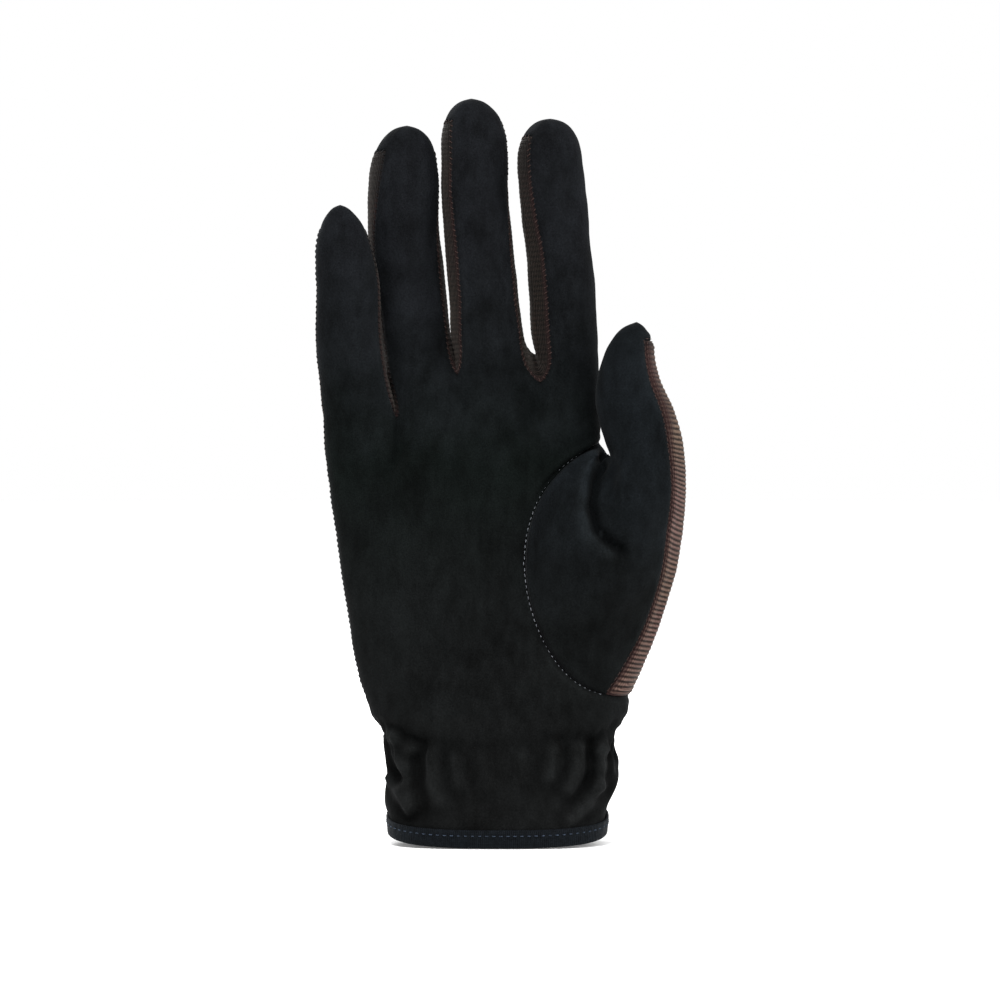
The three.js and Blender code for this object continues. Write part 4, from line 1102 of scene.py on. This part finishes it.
def panel_object(panel, wall):
    number = PANELS.index(panel)
    own = skin_net.panel == number
    quads = skin_net.corner.reshape(-1, 4)[own]
    used, compact = np.unique(quads, return_inverse=True)
    net = Net(compact.reshape(-1, 4), np.zeros(len(quads), int), skin_net.turned[own])
    data = np.concatenate([
        skin[used], skin_row[used, None], seam_distance[used, None], skin_wear_light_and_shade[used, None]], 1)
    for _ in range(EXTRA_LEVELS.get(panel, 0)):
        net, data = subdivide(net, data)
    if panel == "thumb_back":
        net, data = halve_along(net, data)
    outer, row_place, distance, wear_light_and_shade = data[:, :3], data[:, 3], data[:, 4], data[:, 5]
    normal = normals_of(net, outer)
    ribs = rib_place(panel, outer, row_place)
    near_tip = smooth((outer[:, 2] - STRIP_NARROW_HEIGHT) / STRIP_NARROW_LENGTH)
    shown = distance * (1 - STRIP_NARROWING * near_tip) if panel == "thumb_back" else distance
    fade_start = FADE_STARTS.get(panel, FADE_STARTS["fourchette"])
    fade = smooth((row_place - fade_start[0]) / fade_start[1])
    if panel in EXTRA_LEVELS:
        wave = np.abs(np.cos(np.pi * ribs / RIB_PITCH)) - RIB_CREST
        depth = RIB_DEPTH if panel == "thumb_back" else FINE_RIB_DEPTH
        outer = outer + normal * (depth * wave * smooth(distance / RIB_START))[:, None]
    # The edge steps back from the seam, and turns in by the wall
    rim = net.uses == 1
    rim_ids = np.unique(net.edges[rim])
    on_rim = np.zeros(len(outer), bool)
    on_rim[rim_ids] = True
    ends = net.edges[~rim]
    inward = np.zeros_like(outer)
    for a, b in ((0, 1), (1, 0)):
        chosen = on_rim[ends[:, a]] & ~on_rim[ends[:, b]]
        np.add.at(inward, ends[chosen, a], outer[ends[chosen, b]] - outer[ends[chosen, a]])
    length = np.linalg.norm(inward, axis=1, keepdims=True)
    outer = outer + np.where(length > 0, inward / np.maximum(length, TINY) * SEAM_INSET, 0)
    count = len(outer)
    turned = outer[rim_ids] - normal[rim_ids] * wall
    turned_id = {int(i): count + k for k, i in enumerate(rim_ids)}
    polygons = net.corner.reshape(-1, 4).tolist()
    for loop in np.nonzero(net.uses[net.edge_of] == 1)[0]:
        a, b = int(net.corner[loop]), int(net.corner[net.following[loop]])
        polygons.append([b, a, turned_id[a], turned_id[b]])
    inner_net = nets[-2]
    inner_quads = inner_net.corner.reshape(-1, 4)[inner_net.panel == number]
    inner_used, inner_compact = np.unique(inner_quads, return_inverse=True)
    inner = skin[inner_used] - skin_normals[inner_used] * wall
    start = count + len(turned)
    polygons += (inner_compact.reshape(-1, 4)[:, ::-1] + start).tolist()
    vertices = np.concatenate([outer, turned, inner])
    attributes = {
        "rib": np.concatenate([ribs, ribs[rim_ids], rib_place(panel, inner, skin_row[inner_used])]),
        "seam": np.concatenate([shown, distance[rim_ids] * 0, np.full(len(inner), INSIDE_MARK)]),
        "wear_light_and_shade": np.concatenate([wear_light_and_shade, wear_light_and_shade[rim_ids], np.zeros(len(inner))]),
        "fade": np.concatenate([fade, fade[rim_ids], np.zeros(len(inner))]),
        "wale": np.concatenate([
            wale_place(panel, outer, distance), distance[rim_ids] * 0, np.full(len(inner), INSIDE_MARK)]),
    }
    return make_object(panel + "_cloth", vertices, polygons, attributes)


pieces = {}
for panel in PANELS:
    knitted = panel in ("back_panel", "thumb_back") or panel.startswith("fourchette")
    piece = panel_object(panel, KNIT_WALL if knitted else SUEDE_WALL)
    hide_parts(panel)
    pieces[panel] = piece

# Binding round the hem: a folded tape with rolled edges

BINDING_STEPS = 360
CORNER_STEPS = 4
LONG_RUN = 3
PUCKER_DEPTH = 0.07
PUCKER_PITCH = 3.1
PUCKER_REACH = 1.6
CROWN_HEIGHT = 0.12
CROWN_START = 0.9
BINDING_STITCH_HEIGHT = 3.9
BINDING_RADII = [0.62, 0.62, 0.3, 0.05, 0.1, 0.1, 0.05, 0.3]
tape_out = BINDING_CLEARANCE + BINDING_WALL
tape_in = -(SUEDE_WALL + BINDING_CLEARANCE) - BINDING_WALL


def tape_profile():
    line = []
    corners = [
        (tape_in, 0.0), (tape_out, 0.0), (tape_out, BINDING_HEIGHT),
        (BINDING_CLEARANCE, BINDING_HEIGHT), (BINDING_CLEARANCE, BINDING_WALL),
        (tape_in + BINDING_WALL, BINDING_WALL), (tape_in + BINDING_WALL, BINDING_HEIGHT),
        (tape_in, BINDING_HEIGHT),
    ]
    corners = np.array(corners)
    for k, corner in enumerate(corners):
        before = corners[k - 1] - corner
        after = corners[(k + 1) % len(corners)] - corner
        run = np.linalg.norm(after)
        before = before / np.linalg.norm(before)
        after = after / run
        start, end = corner + before * BINDING_RADII[k], corner + after * BINDING_RADII[k]
        for step in range(CORNER_STEPS + 1):
            t = step / CORNER_STEPS
            line.append(mix(mix(start, corner, t), mix(corner, end, t), t))
        if run > LONG_RUN:
            for share in (0.25, 0.5, 0.75):
                line.append(corner + after * run * share)
    return line


def hem_frame(angle, height):
    point = hand_point(angle, height)
    along = hand_point(angle + 1, height) - hand_point(angle - 1, height)
    along = along / np.linalg.norm(along)
    return point, np.array([along[1], -along[0], 0])


HEM_SAMPLES = 1440
hem_turns = hem_angles[0] + np.linspace(0, FULL_TURN, HEM_SAMPLES + 1)
hem_lengths = run_length([hand_point(turn, 0) for turn in hem_turns])


def around_hem(share):
    return np.interp(share * hem_lengths[-1], hem_lengths, hem_turns)


def binding_object():
    profile = tape_profile()
    vertices, along, level = [], [], []
    lengths = np.linspace(0, hem_lengths[-1], BINDING_STEPS + 1)
    for k in range(BINDING_STEPS):
        angle = around_hem(k / BINDING_STEPS)
        for offset, height in profile:
            point, out = hem_frame(angle, height)
            pucker = PUCKER_DEPTH * math.sin(lengths[k] * 2 * math.pi / PUCKER_PITCH) * (offset > 0)
            pucker *= bell(height, BINDING_STITCH_HEIGHT, PUCKER_REACH)
            crown = CROWN_HEIGHT * math.sin(math.pi * height / BINDING_HEIGHT) * (offset > CROWN_START)
            vertices.append(tilted(point + out * (offset + pucker + crown)))
            along.append(lengths[k])
            level.append(height)
    count = len(profile)
    polygons = []
    for k in range(BINDING_STEPS):
        here, after = k * count, (k + 1) % BINDING_STEPS * count
        for side in range(count):
            up = (side + 1) % count
            polygons.append([here + side, after + side, after + up, here + up])
    return make_object("hem_binding_tape", np.array(vertices), polygons, {"rib": along, "seam": level})


binding = binding_object()
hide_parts("hem_binding")
pieces["hem_binding"] = binding

# Stitches: short bowed threads that dip into the cloth at both ends

surface = BVHTree.FromPolygons(skin.tolist(), skin_net.corner.reshape(-1, 4).tolist())
THREAD_SIDES = 6
FIRST_STITCH = 0.7
LAST_STITCH = 0.4
THREAD_END = 0.75
STEEP = 0.8
SMOOTHING_SPAN = 5
TANGENT_REACH = 0.4
SIDE_REACH = 1.2
THREAD_LIFT = 1.1
SINK_SHARE = 0.7
SINK_LENGTH = 4.3
# Place along the stitch, in stitch lengths, and height in thread radii
STITCH_ARCH = ((-0.5, -0.25), (-0.36, 0.55), (0, 1), (0.36, 0.55), (0.5, -0.25))


def thread_mesh(paths, radius):
    vertices, polygons = [], []
    for path in paths:
        path = np.array(path)
        start = len(vertices)
        for k, point in enumerate(path):
            along = path[min(k + 1, len(path) - 1)] - path[max(k - 1, 0)]
            along = along / max(np.linalg.norm(along), TINY)
            helper = np.array([0, 0, 1.0]) if abs(along[2]) < STEEP else np.array([1.0, 0, 0])
            side = np.cross(along, helper)
            side /= np.linalg.norm(side)
            other = np.cross(along, side)
            size = radius * (THREAD_END if k in (0, len(path) - 1) else 1)
            for turn in range(THREAD_SIDES):
                angle = 2 * math.pi * turn / THREAD_SIDES
                vertices.append(point + size * (math.cos(angle) * side + math.sin(angle) * other))
        for k in range(len(path) - 1):
            for turn in range(THREAD_SIDES):
                after = (turn + 1) % THREAD_SIDES
                low, high = start + k * THREAD_SIDES, start + (k + 1) * THREAD_SIDES
                polygons.append([low + turn, low + after, high + after, high + turn])
        polygons.append([start + turn for turn in range(THREAD_SIDES)][::-1])
        last = start + (len(path) - 1) * THREAD_SIDES
        polygons.append([last + turn for turn in range(THREAD_SIDES)])
    return np.array(vertices), polygons


def resample(chain, pitch):
    line = skin[chain]
    kernel = np.ones(SMOOTHING_SPAN) / SMOOTHING_SPAN
    padded = np.concatenate([line[:1].repeat(2, 0), line, line[-1:].repeat(2, 0)])
    line = np.stack([np.convolve(padded[:, k], kernel, "valid") for k in range(3)], 1)
    along = run_length(line)
    places = np.arange(pitch * FIRST_STITCH, along[-1] - pitch * LAST_STITCH, pitch)
    spots = np.stack([np.interp(places, along, line[:, k]) for k in range(3)], 1)
    ahead = np.stack([np.interp(places + TANGENT_REACH, along, line[:, k]) for k in range(3)], 1)
    behind = np.stack([np.interp(places - TANGENT_REACH, along, line[:, k]) for k in range(3)], 1)
    return spots, unit(ahead - behind)


def on_surface(point, height):
    spot, normal, _, _ = surface.find_nearest(Vector(point))
    return np.array(spot) + np.array(normal) * height


# Some stitches have sunk into the cloth, so that only their middles show
def stitch_path(centre, direction, length, height, deeper):
    sunk = SINK_SHARE * noise.noise(Vector(centre) / SINK_LENGTH) - deeper
    return [
        on_surface(centre + direction * length * share, height * (rise + sunk))
        for share, rise in STITCH_ARCH]


def is_left_out(name, spot):
    lowest = BINDING_HEIGHT + BINDING_CLEAR_HEIGHT + max(0, spot[1]) * BINDING_CLEAR_RISE
    return name == "cuff_side_stitches" and spot[2] <= lowest


def gusset_sink(name, spot):
    if name != "gusset_stitches":
        return 0
    return GUSSET_SINK * smooth(abs(spot[2] - GUSSET_CLEAR_HEIGHT) / GUSSET_CLEAR_REACH - 1)


def seam_stitches(row):
    name, radius, slant = row["name"], row["radius"], row["slant"]
    paths = []
    for chain in seam_chains(row["a"], row["b"]):
        for spot, tangent in zip(*resample(chain, row["pitch"])):
            if is_left_out(name, spot):
                continue
            _, normal, _, _ = surface.find_nearest(Vector(spot))
            side = np.cross(np.array(normal), tangent)
            side /= max(np.linalg.norm(side), TINY)
            _, _, face, _ = surface.find_nearest(Vector(spot + side * SIDE_REACH))
            if skin_net.panel[face] != PANELS.index(row["toward"]):
                side = -side
            direction = tangent * math.cos(slant) + side * math.sin(slant)
            centre = spot + side * row["offset"]
            deeper = gusset_sink(name, spot)
            paths.append(stitch_path(centre, direction, row["length"], radius * THREAD_LIFT, deeper))
    vertices, polygons = thread_mesh(paths, radius)
    pieces[name] = make_object(name, vertices, polygons, {})


# The gusset's stitches stand clear of the suede only halfway up the seam
GUSSET_CLEAR_HEIGHT = 86
GUSSET_CLEAR_REACH = 11
GUSSET_SINK = 1.5
# The side seam's stitches on the cuff end above the binding, whose edge rises to the back
BINDING_CLEAR_HEIGHT = 3
BINDING_CLEAR_RISE = 0.4
# Stitches that run along a seam, and whip stitches, turned from its direction by their slant
STITCH_COLUMNS = "name thread a b toward pitch offset length radius slant"
STITCHES = rows(
    STITCH_COLUMNS,
    ("gusset_stitches", "light", "palm_panel", "thumb_front", "palm_panel", 1.75, 0.55, 0.95, 0.13, 0),
    ("strip_stitches", "brown", "thumb_front", "thumb_back", "thumb_back", 1.9, 0.85, 1.25, 0.15, 0),
    ("strip_edge_stitches", "brown", "thumb_front", "thumb_back", "thumb_front", 1.9, 0.55, 1.2, 0.14, 0),
)
for gap in GAPS:
    between = gap.removeprefix("fourchette")
    # The whip stitches between the little and ring fingers take the dark thread, as painted shade in the
    # gap between them
    edge_thread = "dark" if gap == GAPS[0] else "brown"
    STITCHES += rows(
        STITCH_COLUMNS,
        ("whip_stitches" + between, edge_thread, "palm_panel", gap, gap, 1.7, 0.2, 1.5, 0.13, 1.1),
        ("back_stitches" + between, "dark", "back_panel", gap, "back_panel", 2.0, 0.7, 1.3, 0.13, 0),
    )
STITCHES += rows(
    STITCH_COLUMNS,
    ("side_stitches", "dark", "palm_panel", "back_panel", "palm_panel", 1.7, 0.1, 1.6, 0.17, 1.0),
    ("cuff_side_stitches", "dark", "palm_panel", "cuff_back", "palm_panel", 2.1, 0.8, 1.3, 0.13, 0),
    ("wrist_stitches", "dark", "back_panel", "cuff_back", "cuff_back", 2.2, 0.9, 1.4, 0.14, 0),
    ("thumb_back_stitches", "dark", "back_panel", "thumb_back", "back_panel", 2.1, 0.8, 1.3, 0.13, 0),
)
stitch_threads = {row["name"]: row["thread"] for row in STITCHES}
for row in STITCHES:
    seam_stitches(row)

BINDING_STITCHES = 84
BINDING_THREAD = 0.17
BINDING_LIFT = 0.1
BINDING_SINK = 0.34
BINDING_SINK_MEAN = 0.06
BINDING_SINK_LENGTH = 7
# Place along the stitch, in stitch spacings, and height in millimetres
BINDING_ARCH = ((-0.22, -0.12), (-0.14, 0.1), (0, 0.16), (0.14, 0.1), (0.22, -0.12))
binding_paths = []
for k in range(BINDING_STITCHES):
    path = []
    for share, rise in BINDING_ARCH:
        angle = around_hem((k + share) % BINDING_STITCHES / BINDING_STITCHES)
        point, out = hem_frame(angle, BINDING_STITCH_HEIGHT)
        path.append(tilted(point + out * (tape_out + BINDING_LIFT + rise)))
        sunk = BINDING_SINK * noise.noise(Vector(path[0]) / BINDING_SINK_LENGTH) - BINDING_SINK_MEAN
        path[-1] = path[-1] + out * sunk
    binding_paths.append(path)
vertices, polygons = thread_mesh(binding_paths, BINDING_THREAD)
pieces["binding_stitches"] = make_object("binding_stitches", vertices, polygons, {})
stitch_threads["binding_stitches"] = "tape"

# Materials


# Waves a metre, detail and roughness of each noise
NOISES = {
    "patches": (45, 3, 0.6),
    "brushed": (260, 3, 0.6),
    "nap": (1900, 2, 0.7),
    "yarn": (1300, 2, 0.6),
    "broad": (90, 2, 0.5),
    "tint": (42, 2, 0.5),
    "fuzz": (900, 3, 0.5),
    "twist": (2600, 2, 0.5),
}
# Strength and depth in metres of each bump
BUMPS = {
    "nap": (0.35, 0.0003),
    "brushed": (0.22, 0.0009),
    "loops": (0.5, 0.0004),
    "ribs": (0.9, 0.00055),
    "weave": (0.6, 0.0003),
    "fuzz": (0.2, 0.0003),
    "twist": (0.4, 0.0001),
}
# Roughness, specular level, sheen and its roughness and tint
FINISHES = {
    "suede": (0.88, 0.02, 0.02, 0.4, (0.75, 0.78, 0.8)),
    "knit": (0.8, 0.06, 0.05, 0.5, (0.9, 0.8, 0.72)),
    "tape": (0.62, 0.04, 0.02, 0.5, (0.6, 0.7, 0.85)),
    "thread": (0.65, 0.08, 0, 0.5, (1, 1, 1)),
}


def set_finish(shader, kind):
    roughness, specular, sheen, sheen_roughness, tint = FINISHES[kind]
    shader.inputs["Roughness"].default_value = roughness
    shader.inputs["Specular IOR Level"].default_value = specular
    shader.inputs["Sheen Weight"].default_value = sheen
    shader.inputs["Sheen Roughness"].default_value = sheen_roughness
    shader.inputs["Sheen Tint"].default_value = (*tint, 1)


def link(tree, source, target):
    tree.links.new(source, target)


def new_material(name):
    material = bpy.data.materials.new(name)
    material.use_nodes = True
    return material, material.node_tree, material.node_tree.nodes["Principled BSDF"]


def node(tree, kind, **inputs):
    made = tree.nodes.new(kind)
    for key, value in inputs.items():
        made.inputs[key.replace("_", " ")].default_value = value
    return made


def math_node(tree, operation, first, second=None):
    made = tree.nodes.new("ShaderNodeMath")
    made.operation = operation
    for socket, value in zip(made.inputs, (first, second)):
        if value is None:
            continue
        if isinstance(value, (int, float)):
            socket.default_value = value
        else:
            link(tree, value, socket)
    return made.outputs[0]


def wave_node(tree, along, kind, pitch):
    return math_node(tree, kind, math_node(tree, "MULTIPLY", along, 2 * math.pi / pitch))


# The sum of terms, each a value and its share
def weighted(tree, *terms):
    total = None
    for value, share in terms:
        part = math_node(tree, "MULTIPLY", value, share)
        total = part if total is None else math_node(tree, "ADD", total, part)
    return total


def noise_node(tree, kind, stretch=(1, 1, 1)):
    scale, detail, roughness = NOISES[kind]
    made = node(tree, "ShaderNodeTexNoise", Scale=scale, Detail=detail, Roughness=roughness)
    link(tree, object_coordinates(tree, stretch), made.inputs["Vector"])
    return made.outputs["Fac"]


def object_coordinates(tree, scale=(1, 1, 1)):
    place = tree.nodes.new("ShaderNodeTexCoord")
    mapping = tree.nodes.new("ShaderNodeMapping")
    mapping.inputs["Scale"].default_value = scale
    link(tree, place.outputs["Object"], mapping.inputs["Vector"])
    return mapping.outputs["Vector"]


def attribute(tree, name):
    made = tree.nodes.new("ShaderNodeAttribute")
    made.attribute_name = name
    return made.outputs["Fac"]


def ramp(tree, source, stops):
    made = tree.nodes.new("ShaderNodeValToRGB")
    elements = made.color_ramp.elements
    while len(elements) < len(stops):
        elements.new(0.5)
    for element, (place, colour) in zip(elements, stops):
        element.position = place
        element.color = (*colour, 1) if isinstance(colour, tuple) else (colour, colour, colour, 1)
    link(tree, source, made.inputs["Fac"])
    return made.outputs["Color"]


def mixed(tree, kind, share, first, second):
    made = tree.nodes.new("ShaderNodeMix")
    made.data_type = "RGBA"
    made.blend_type = kind
    for socket, value in ((made.inputs[0], share), (made.inputs[6], first), (made.inputs[7], second)):
        if isinstance(value, (int, float)):
            socket.default_value = value
        elif isinstance(value, tuple):
            socket.default_value = (*value, 1)
        else:
            link(tree, value, socket)
    return made.outputs[2]


def bump(tree, kind, height, before=None):
    strength, distance = BUMPS[kind]
    made = node(tree, "ShaderNodeBump", Strength=strength, Distance=distance)
    link(tree, height, made.inputs["Height"])
    if before is not None:
        link(tree, before, made.inputs["Normal"])
    return made.outputs["Normal"]


# A colour as the photo's screen values give it, made linear
def linear(red, green, blue):
    def channel(value):
        share = value / 255
        return share / 12.92 if share <= 0.04045 else ((share + 0.055) / 1.055) ** 2.4
    return (channel(red), channel(green), channel(blue))


GLOVE_HEIGHT = float(skin[:, 2].max())
WARP_PITCH = 0.62
WEFT_PITCH = 0.5
WARP_SHARE = 0.35
WEFT_SHARE = 0.15
WEAVE_SHARE = 0.4
WALE_SHARE = 0.3
BRUSHING_STRETCH = (1, 1, 0.45)
PATCH_SHARE = 0.55
WEAR_LIGHT_AND_SHADE_SHARE = 0.3
LEVEL_DRIFT = 0.16
SUEDE_SEAM_REACH = 10
KNIT_SEAM_REACH = 4


# Painted light: a tone ramp on height makes the colour darker on the upper palm, and lighter and bluer on
# the fingers and the thumb
def suede_material(name, dark, light, painted_light_by_height):
    material, tree, shader = new_material(name)
    patches = noise_node(tree, "patches")
    brushed = noise_node(tree, "brushed", BRUSHING_STRETCH)
    nap = noise_node(tree, "nap")
    tone = weighted(tree, (patches, PATCH_SHARE), (brushed, 1 - PATCH_SHARE))
    colour = ramp(tree, tone, [(0.36, dark), (0.66, light)])
    colour = mixed(tree, "SOFT_LIGHT", 0.6, colour, ramp(tree, nap, [(0.3, 0.25), (0.72, 0.8)]))
    # Darker right at a seam, as painted shade in its groove, and a little lighter just beside it, as wear
    near = math_node(tree, "MULTIPLY", attribute(tree, "seam"), 1 / SUEDE_SEAM_REACH)
    edge = ramp(tree, near, [(0.0, 0.3), (0.08, 0.5), (0.18, 0.6), (0.38, 0.5)])
    colour = mixed(tree, "OVERLAY", 0.7, colour, edge)
    # Painted highlight and wear on the crests of the ridges, and painted shade in the crease and the
    # hollows
    wear_light_and_shade_scaled = math_node(tree, "MULTIPLY", attribute(tree, "wear_light_and_shade"), WEAR_LIGHT_AND_SHADE_SHARE)
    wear_light_and_shade_level = math_node(tree, "ADD", wear_light_and_shade_scaled, 0.5)
    crest_highlight_and_hollow_shade = ramp(tree, wear_light_and_shade_level, [(0.2, 0.25), (0.5, 0.5), (0.85, 0.95)])
    colour = mixed(tree, "OVERLAY", 0.9, colour, crest_highlight_and_hollow_shade)
    # Painted light from above: the colour is multiplied by a tone ramp on height, which the patches drift
    split = tree.nodes.new("ShaderNodeSeparateXYZ")
    link(tree, object_coordinates(tree), split.inputs[0])
    height = (split.outputs["Z"], 1 / (GLOVE_HEIGHT * METRES))
    level = weighted(tree, height, (patches, LEVEL_DRIFT))
    colour = mixed(tree, "MULTIPLY", 1.0, colour, ramp(tree, level, painted_light_by_height))
    link(tree, colour, shader.inputs["Base Color"])
    grain = bump(tree, "brushed", brushed, bump(tree, "nap", nap))
    link(tree, grain, shader.inputs["Normal"])
    set_finish(shader, "suede")
    return material


def knit_material(name, valley, middle, ridge, allowance, rib_share, with_bump):
    material, tree, shader = new_material(name)
    wave = math_node(tree, "ABSOLUTE", wave_node(tree, attribute(tree, "rib"), "COSINE", 2 * RIB_PITCH))
    wale = wave_node(tree, attribute(tree, "wale"), "COSINE", WALE_PITCH)
    loops = math_node(tree, "ADD", noise_node(tree, "yarn"), math_node(tree, "MULTIPLY", wale, WALE_SHARE))
    broad = noise_node(tree, "broad")
    tone = weighted(tree, (wave, rib_share), (loops, 1 - rib_share))
    colour = ramp(tree, tone, [(0.3, valley), (0.6, middle), (0.9, ridge)])
    colour = mixed(tree, "SOFT_LIGHT", 0.5, colour, ramp(tree, broad, [(0.3, 0.35), (0.7, 0.65)]))
    tint = ramp(tree, noise_node(tree, "tint"), [(0.36, (0.97, 1, 0.86)), (0.64, (1, 0.9, 0.95))])
    colour = mixed(tree, "MULTIPLY", 1.0, colour, tint)
    near = math_node(tree, "MULTIPLY", attribute(tree, "seam"), 1 / KNIT_SEAM_REACH)
    turned_in = ramp(tree, near, [(0.08, 0.85), (0.24, 0.55), (0.4, 0.0)])
    colour = mixed(tree, "MIX", turned_in, colour, allowance)
    end_tone = ramp(tree, attribute(tree, "fade"), [(0.0, 0), (1.0, 0.85)])
    colour = mixed(tree, "MIX", end_tone, colour, linear(10, 9, 9))
    link(tree, colour, shader.inputs["Base Color"])
    normal = bump(tree, "loops", loops)
    if with_bump:
        normal = bump(tree, "ribs", wave, normal)
    link(tree, normal, shader.inputs["Normal"])
    set_finish(shader, "knit")
    return material


def binding_material(name, dark, light):
    material, tree, shader = new_material(name)
    warp = wave_node(tree, attribute(tree, "rib"), "SINE", WARP_PITCH)
    weft = wave_node(tree, attribute(tree, "seam"), "SINE", WEFT_PITCH)
    weave = weighted(tree, (warp, WARP_SHARE), (weft, WEFT_SHARE))
    fuzz = noise_node(tree, "fuzz")
    tone = math_node(tree, "ADD", math_node(tree, "MULTIPLY", weave, WEAVE_SHARE), fuzz)
    link(tree, ramp(tree, tone, [(0.25, dark), (0.85, light)]), shader.inputs["Base Color"])
    link(tree, bump(tree, "fuzz", fuzz, bump(tree, "weave", weave)), shader.inputs["Normal"])
    set_finish(shader, "tape")
    return material


def thread_material(name, dark, light):
    material, tree, shader = new_material(name)
    twist = noise_node(tree, "twist")
    link(tree, ramp(tree, twist, [(0.35, dark), (0.65, light)]), shader.inputs["Base Color"])
    link(tree, bump(tree, "twist", twist), shader.inputs["Normal"])
    set_finish(shader, "thread")
    return material


suede_tones = (linear(11, 11.5, 12.5), linear(23, 24, 26))
# The last ramp of each suede is painted light by height
suede = suede_material("suede", *suede_tones, [
    (0.14, (0.7, 0.7, 0.63)), (0.42, (0.62, 0.67, 0.6)), (0.6, (0.4, 0.53, 0.43)),
    (0.73, (0.74, 0.82, 0.82)), (0.88, (0.86, 0.9, 0.94))])
# The thumb's suede is a copy that differs only in its ramp of painted light by height
suede_thumb_painted_light = suede_material("suede_thumb_painted_light", *suede_tones, [
    (0.38, (0.57, 0.62, 0.56)), (0.58, (0.7, 0.82, 0.85))])
knit_tones = (linear(14, 9, 8), linear(50, 38, 34), linear(98, 79, 72), linear(34, 20, 20))
knit = knit_material("ribbed_knit", *knit_tones, 0.62, False)
knit_back = knit_material("ribbed_knit_back", *knit_tones, 0.62, True)
# The knit between the fingers: a darker copy of the knit, with the shade between the fingers painted into
# its colours
fine_knit_shaded_tones = (linear(5, 4, 4), linear(14, 11, 10), linear(32, 24, 22), linear(28, 17, 17))
knit_shade = knit_material("ribbed_knit_fine_painted_shade", *fine_knit_shaded_tones, 0.35, False)
tape = binding_material("binding", linear(4, 6, 8), linear(15, 19, 23))
threads = {
    "tape": thread_material("tape_thread", linear(24, 30, 38), linear(56, 66, 80)),
    "light": thread_material("light_thread", linear(52, 54, 58), linear(118, 121, 126)),
    "dark": thread_material("dark_thread", linear(6, 7, 8), linear(20, 21, 23)),
    "brown": thread_material("brown_thread", linear(20, 14, 13), linear(70, 54, 50)),
}
cloths = {
    "palm_panel": suede, "back_panel": knit_back, "cuff_back": suede, "thumb_front": suede_thumb_painted_light,
    "thumb_back": knit, **dict.fromkeys(GAPS, knit_shade), "hem_binding": tape,
}
for name, cloth in cloths.items():
    pieces[name].data.materials.append(cloth)
for name, thread in stitch_threads.items():
    pieces[name].data.materials.append(threads[thread])
for piece in pieces.values():
    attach(piece, "root")

# Floor, light and camera


def plane(name, size, height):
    half = size / 2
    mesh = bpy.data.meshes.new(name)
    corners = [(-half, -half, height), (half, -half, height), (half, half, height), (-half, half, height)]
    mesh.from_pydata(corners, [], [(0, 1, 2, 3)])
    made = bpy.data.objects.new(name, mesh)
    bpy.context.scene.collection.objects.link(made)
    return made


FLOOR_SIZE = 400
FLOOR_DROP = 0.0003
floor = plane("floor", FLOOR_SIZE, -FLOOR_DROP)
floor_material, _, floor_shader = new_material("floor")
floor_shader.inputs["Base Color"].default_value = (0.93, 0.93, 0.93, 1)
floor_shader.inputs["Emission Color"].default_value = (1, 1, 1, 1)
floor_shader.inputs["Emission Strength"].default_value = 0.12
floor_shader.inputs["Roughness"].default_value = 0.9
floor_shader.inputs["Specular IOR Level"].default_value = 0.1
floor.data.materials.append(floor_material)

world = bpy.data.worlds.new("studio")
world.use_nodes = True
world.node_tree.nodes["Background"].inputs["Color"].default_value = (1, 1, 1, 1)
world.node_tree.nodes["Background"].inputs["Strength"].default_value = 1.0
bpy.context.scene.world = world


def area_light(name, place, size, power):
    light = bpy.data.lights.new(name, "AREA")
    light.shape = "RECTANGLE"
    light.size, light.size_y = size
    light.energy = power
    made = bpy.data.objects.new(name, light)
    made.location = place
    made.rotation_euler = (Vector(LIGHT_TARGET) - Vector(place)).to_track_quat("-Z", "Y").to_euler()
    bpy.context.scene.collection.objects.link(made)


LIGHT_TARGET = (0, 0, 0.12)
LIGHTS = rows(
    "name place size power",
    ("top_light", (-0.15, -0.6, 1.15), (0.4, 0.4), 14),
    ("right_light", (0.9, -0.3, 0.45), (0.3, 0.8), 7),
    ("back_light", (-0.5, 0.9, 0.9), (0.6, 0.6), 12),
)
for light_row in LIGHTS:
    area_light(**light_row)

FRAME_WIDTH = 0.310
CAMERA_DISTANCE = 1.1
CAMERA_SIDE = 0.00093
CAMERA_HEIGHT = 0.106
SENSOR = 36.0
NEAR_CLIP = 0.01
camera_data = bpy.data.cameras.new("camera")
camera_data.sensor_width = SENSOR
camera_data.lens = SENSOR * CAMERA_DISTANCE / FRAME_WIDTH
camera_data.clip_start = NEAR_CLIP
camera = bpy.data.objects.new("camera", camera_data)
camera.location = (CAMERA_SIDE, -CAMERA_DISTANCE, CAMERA_HEIGHT)
camera.rotation_euler = (math.pi / 2, 0, 0)
bpy.context.scene.collection.objects.link(camera)
bpy.context.scene.camera = camera
bpy.context.scene.view_settings.view_transform = "Standard"
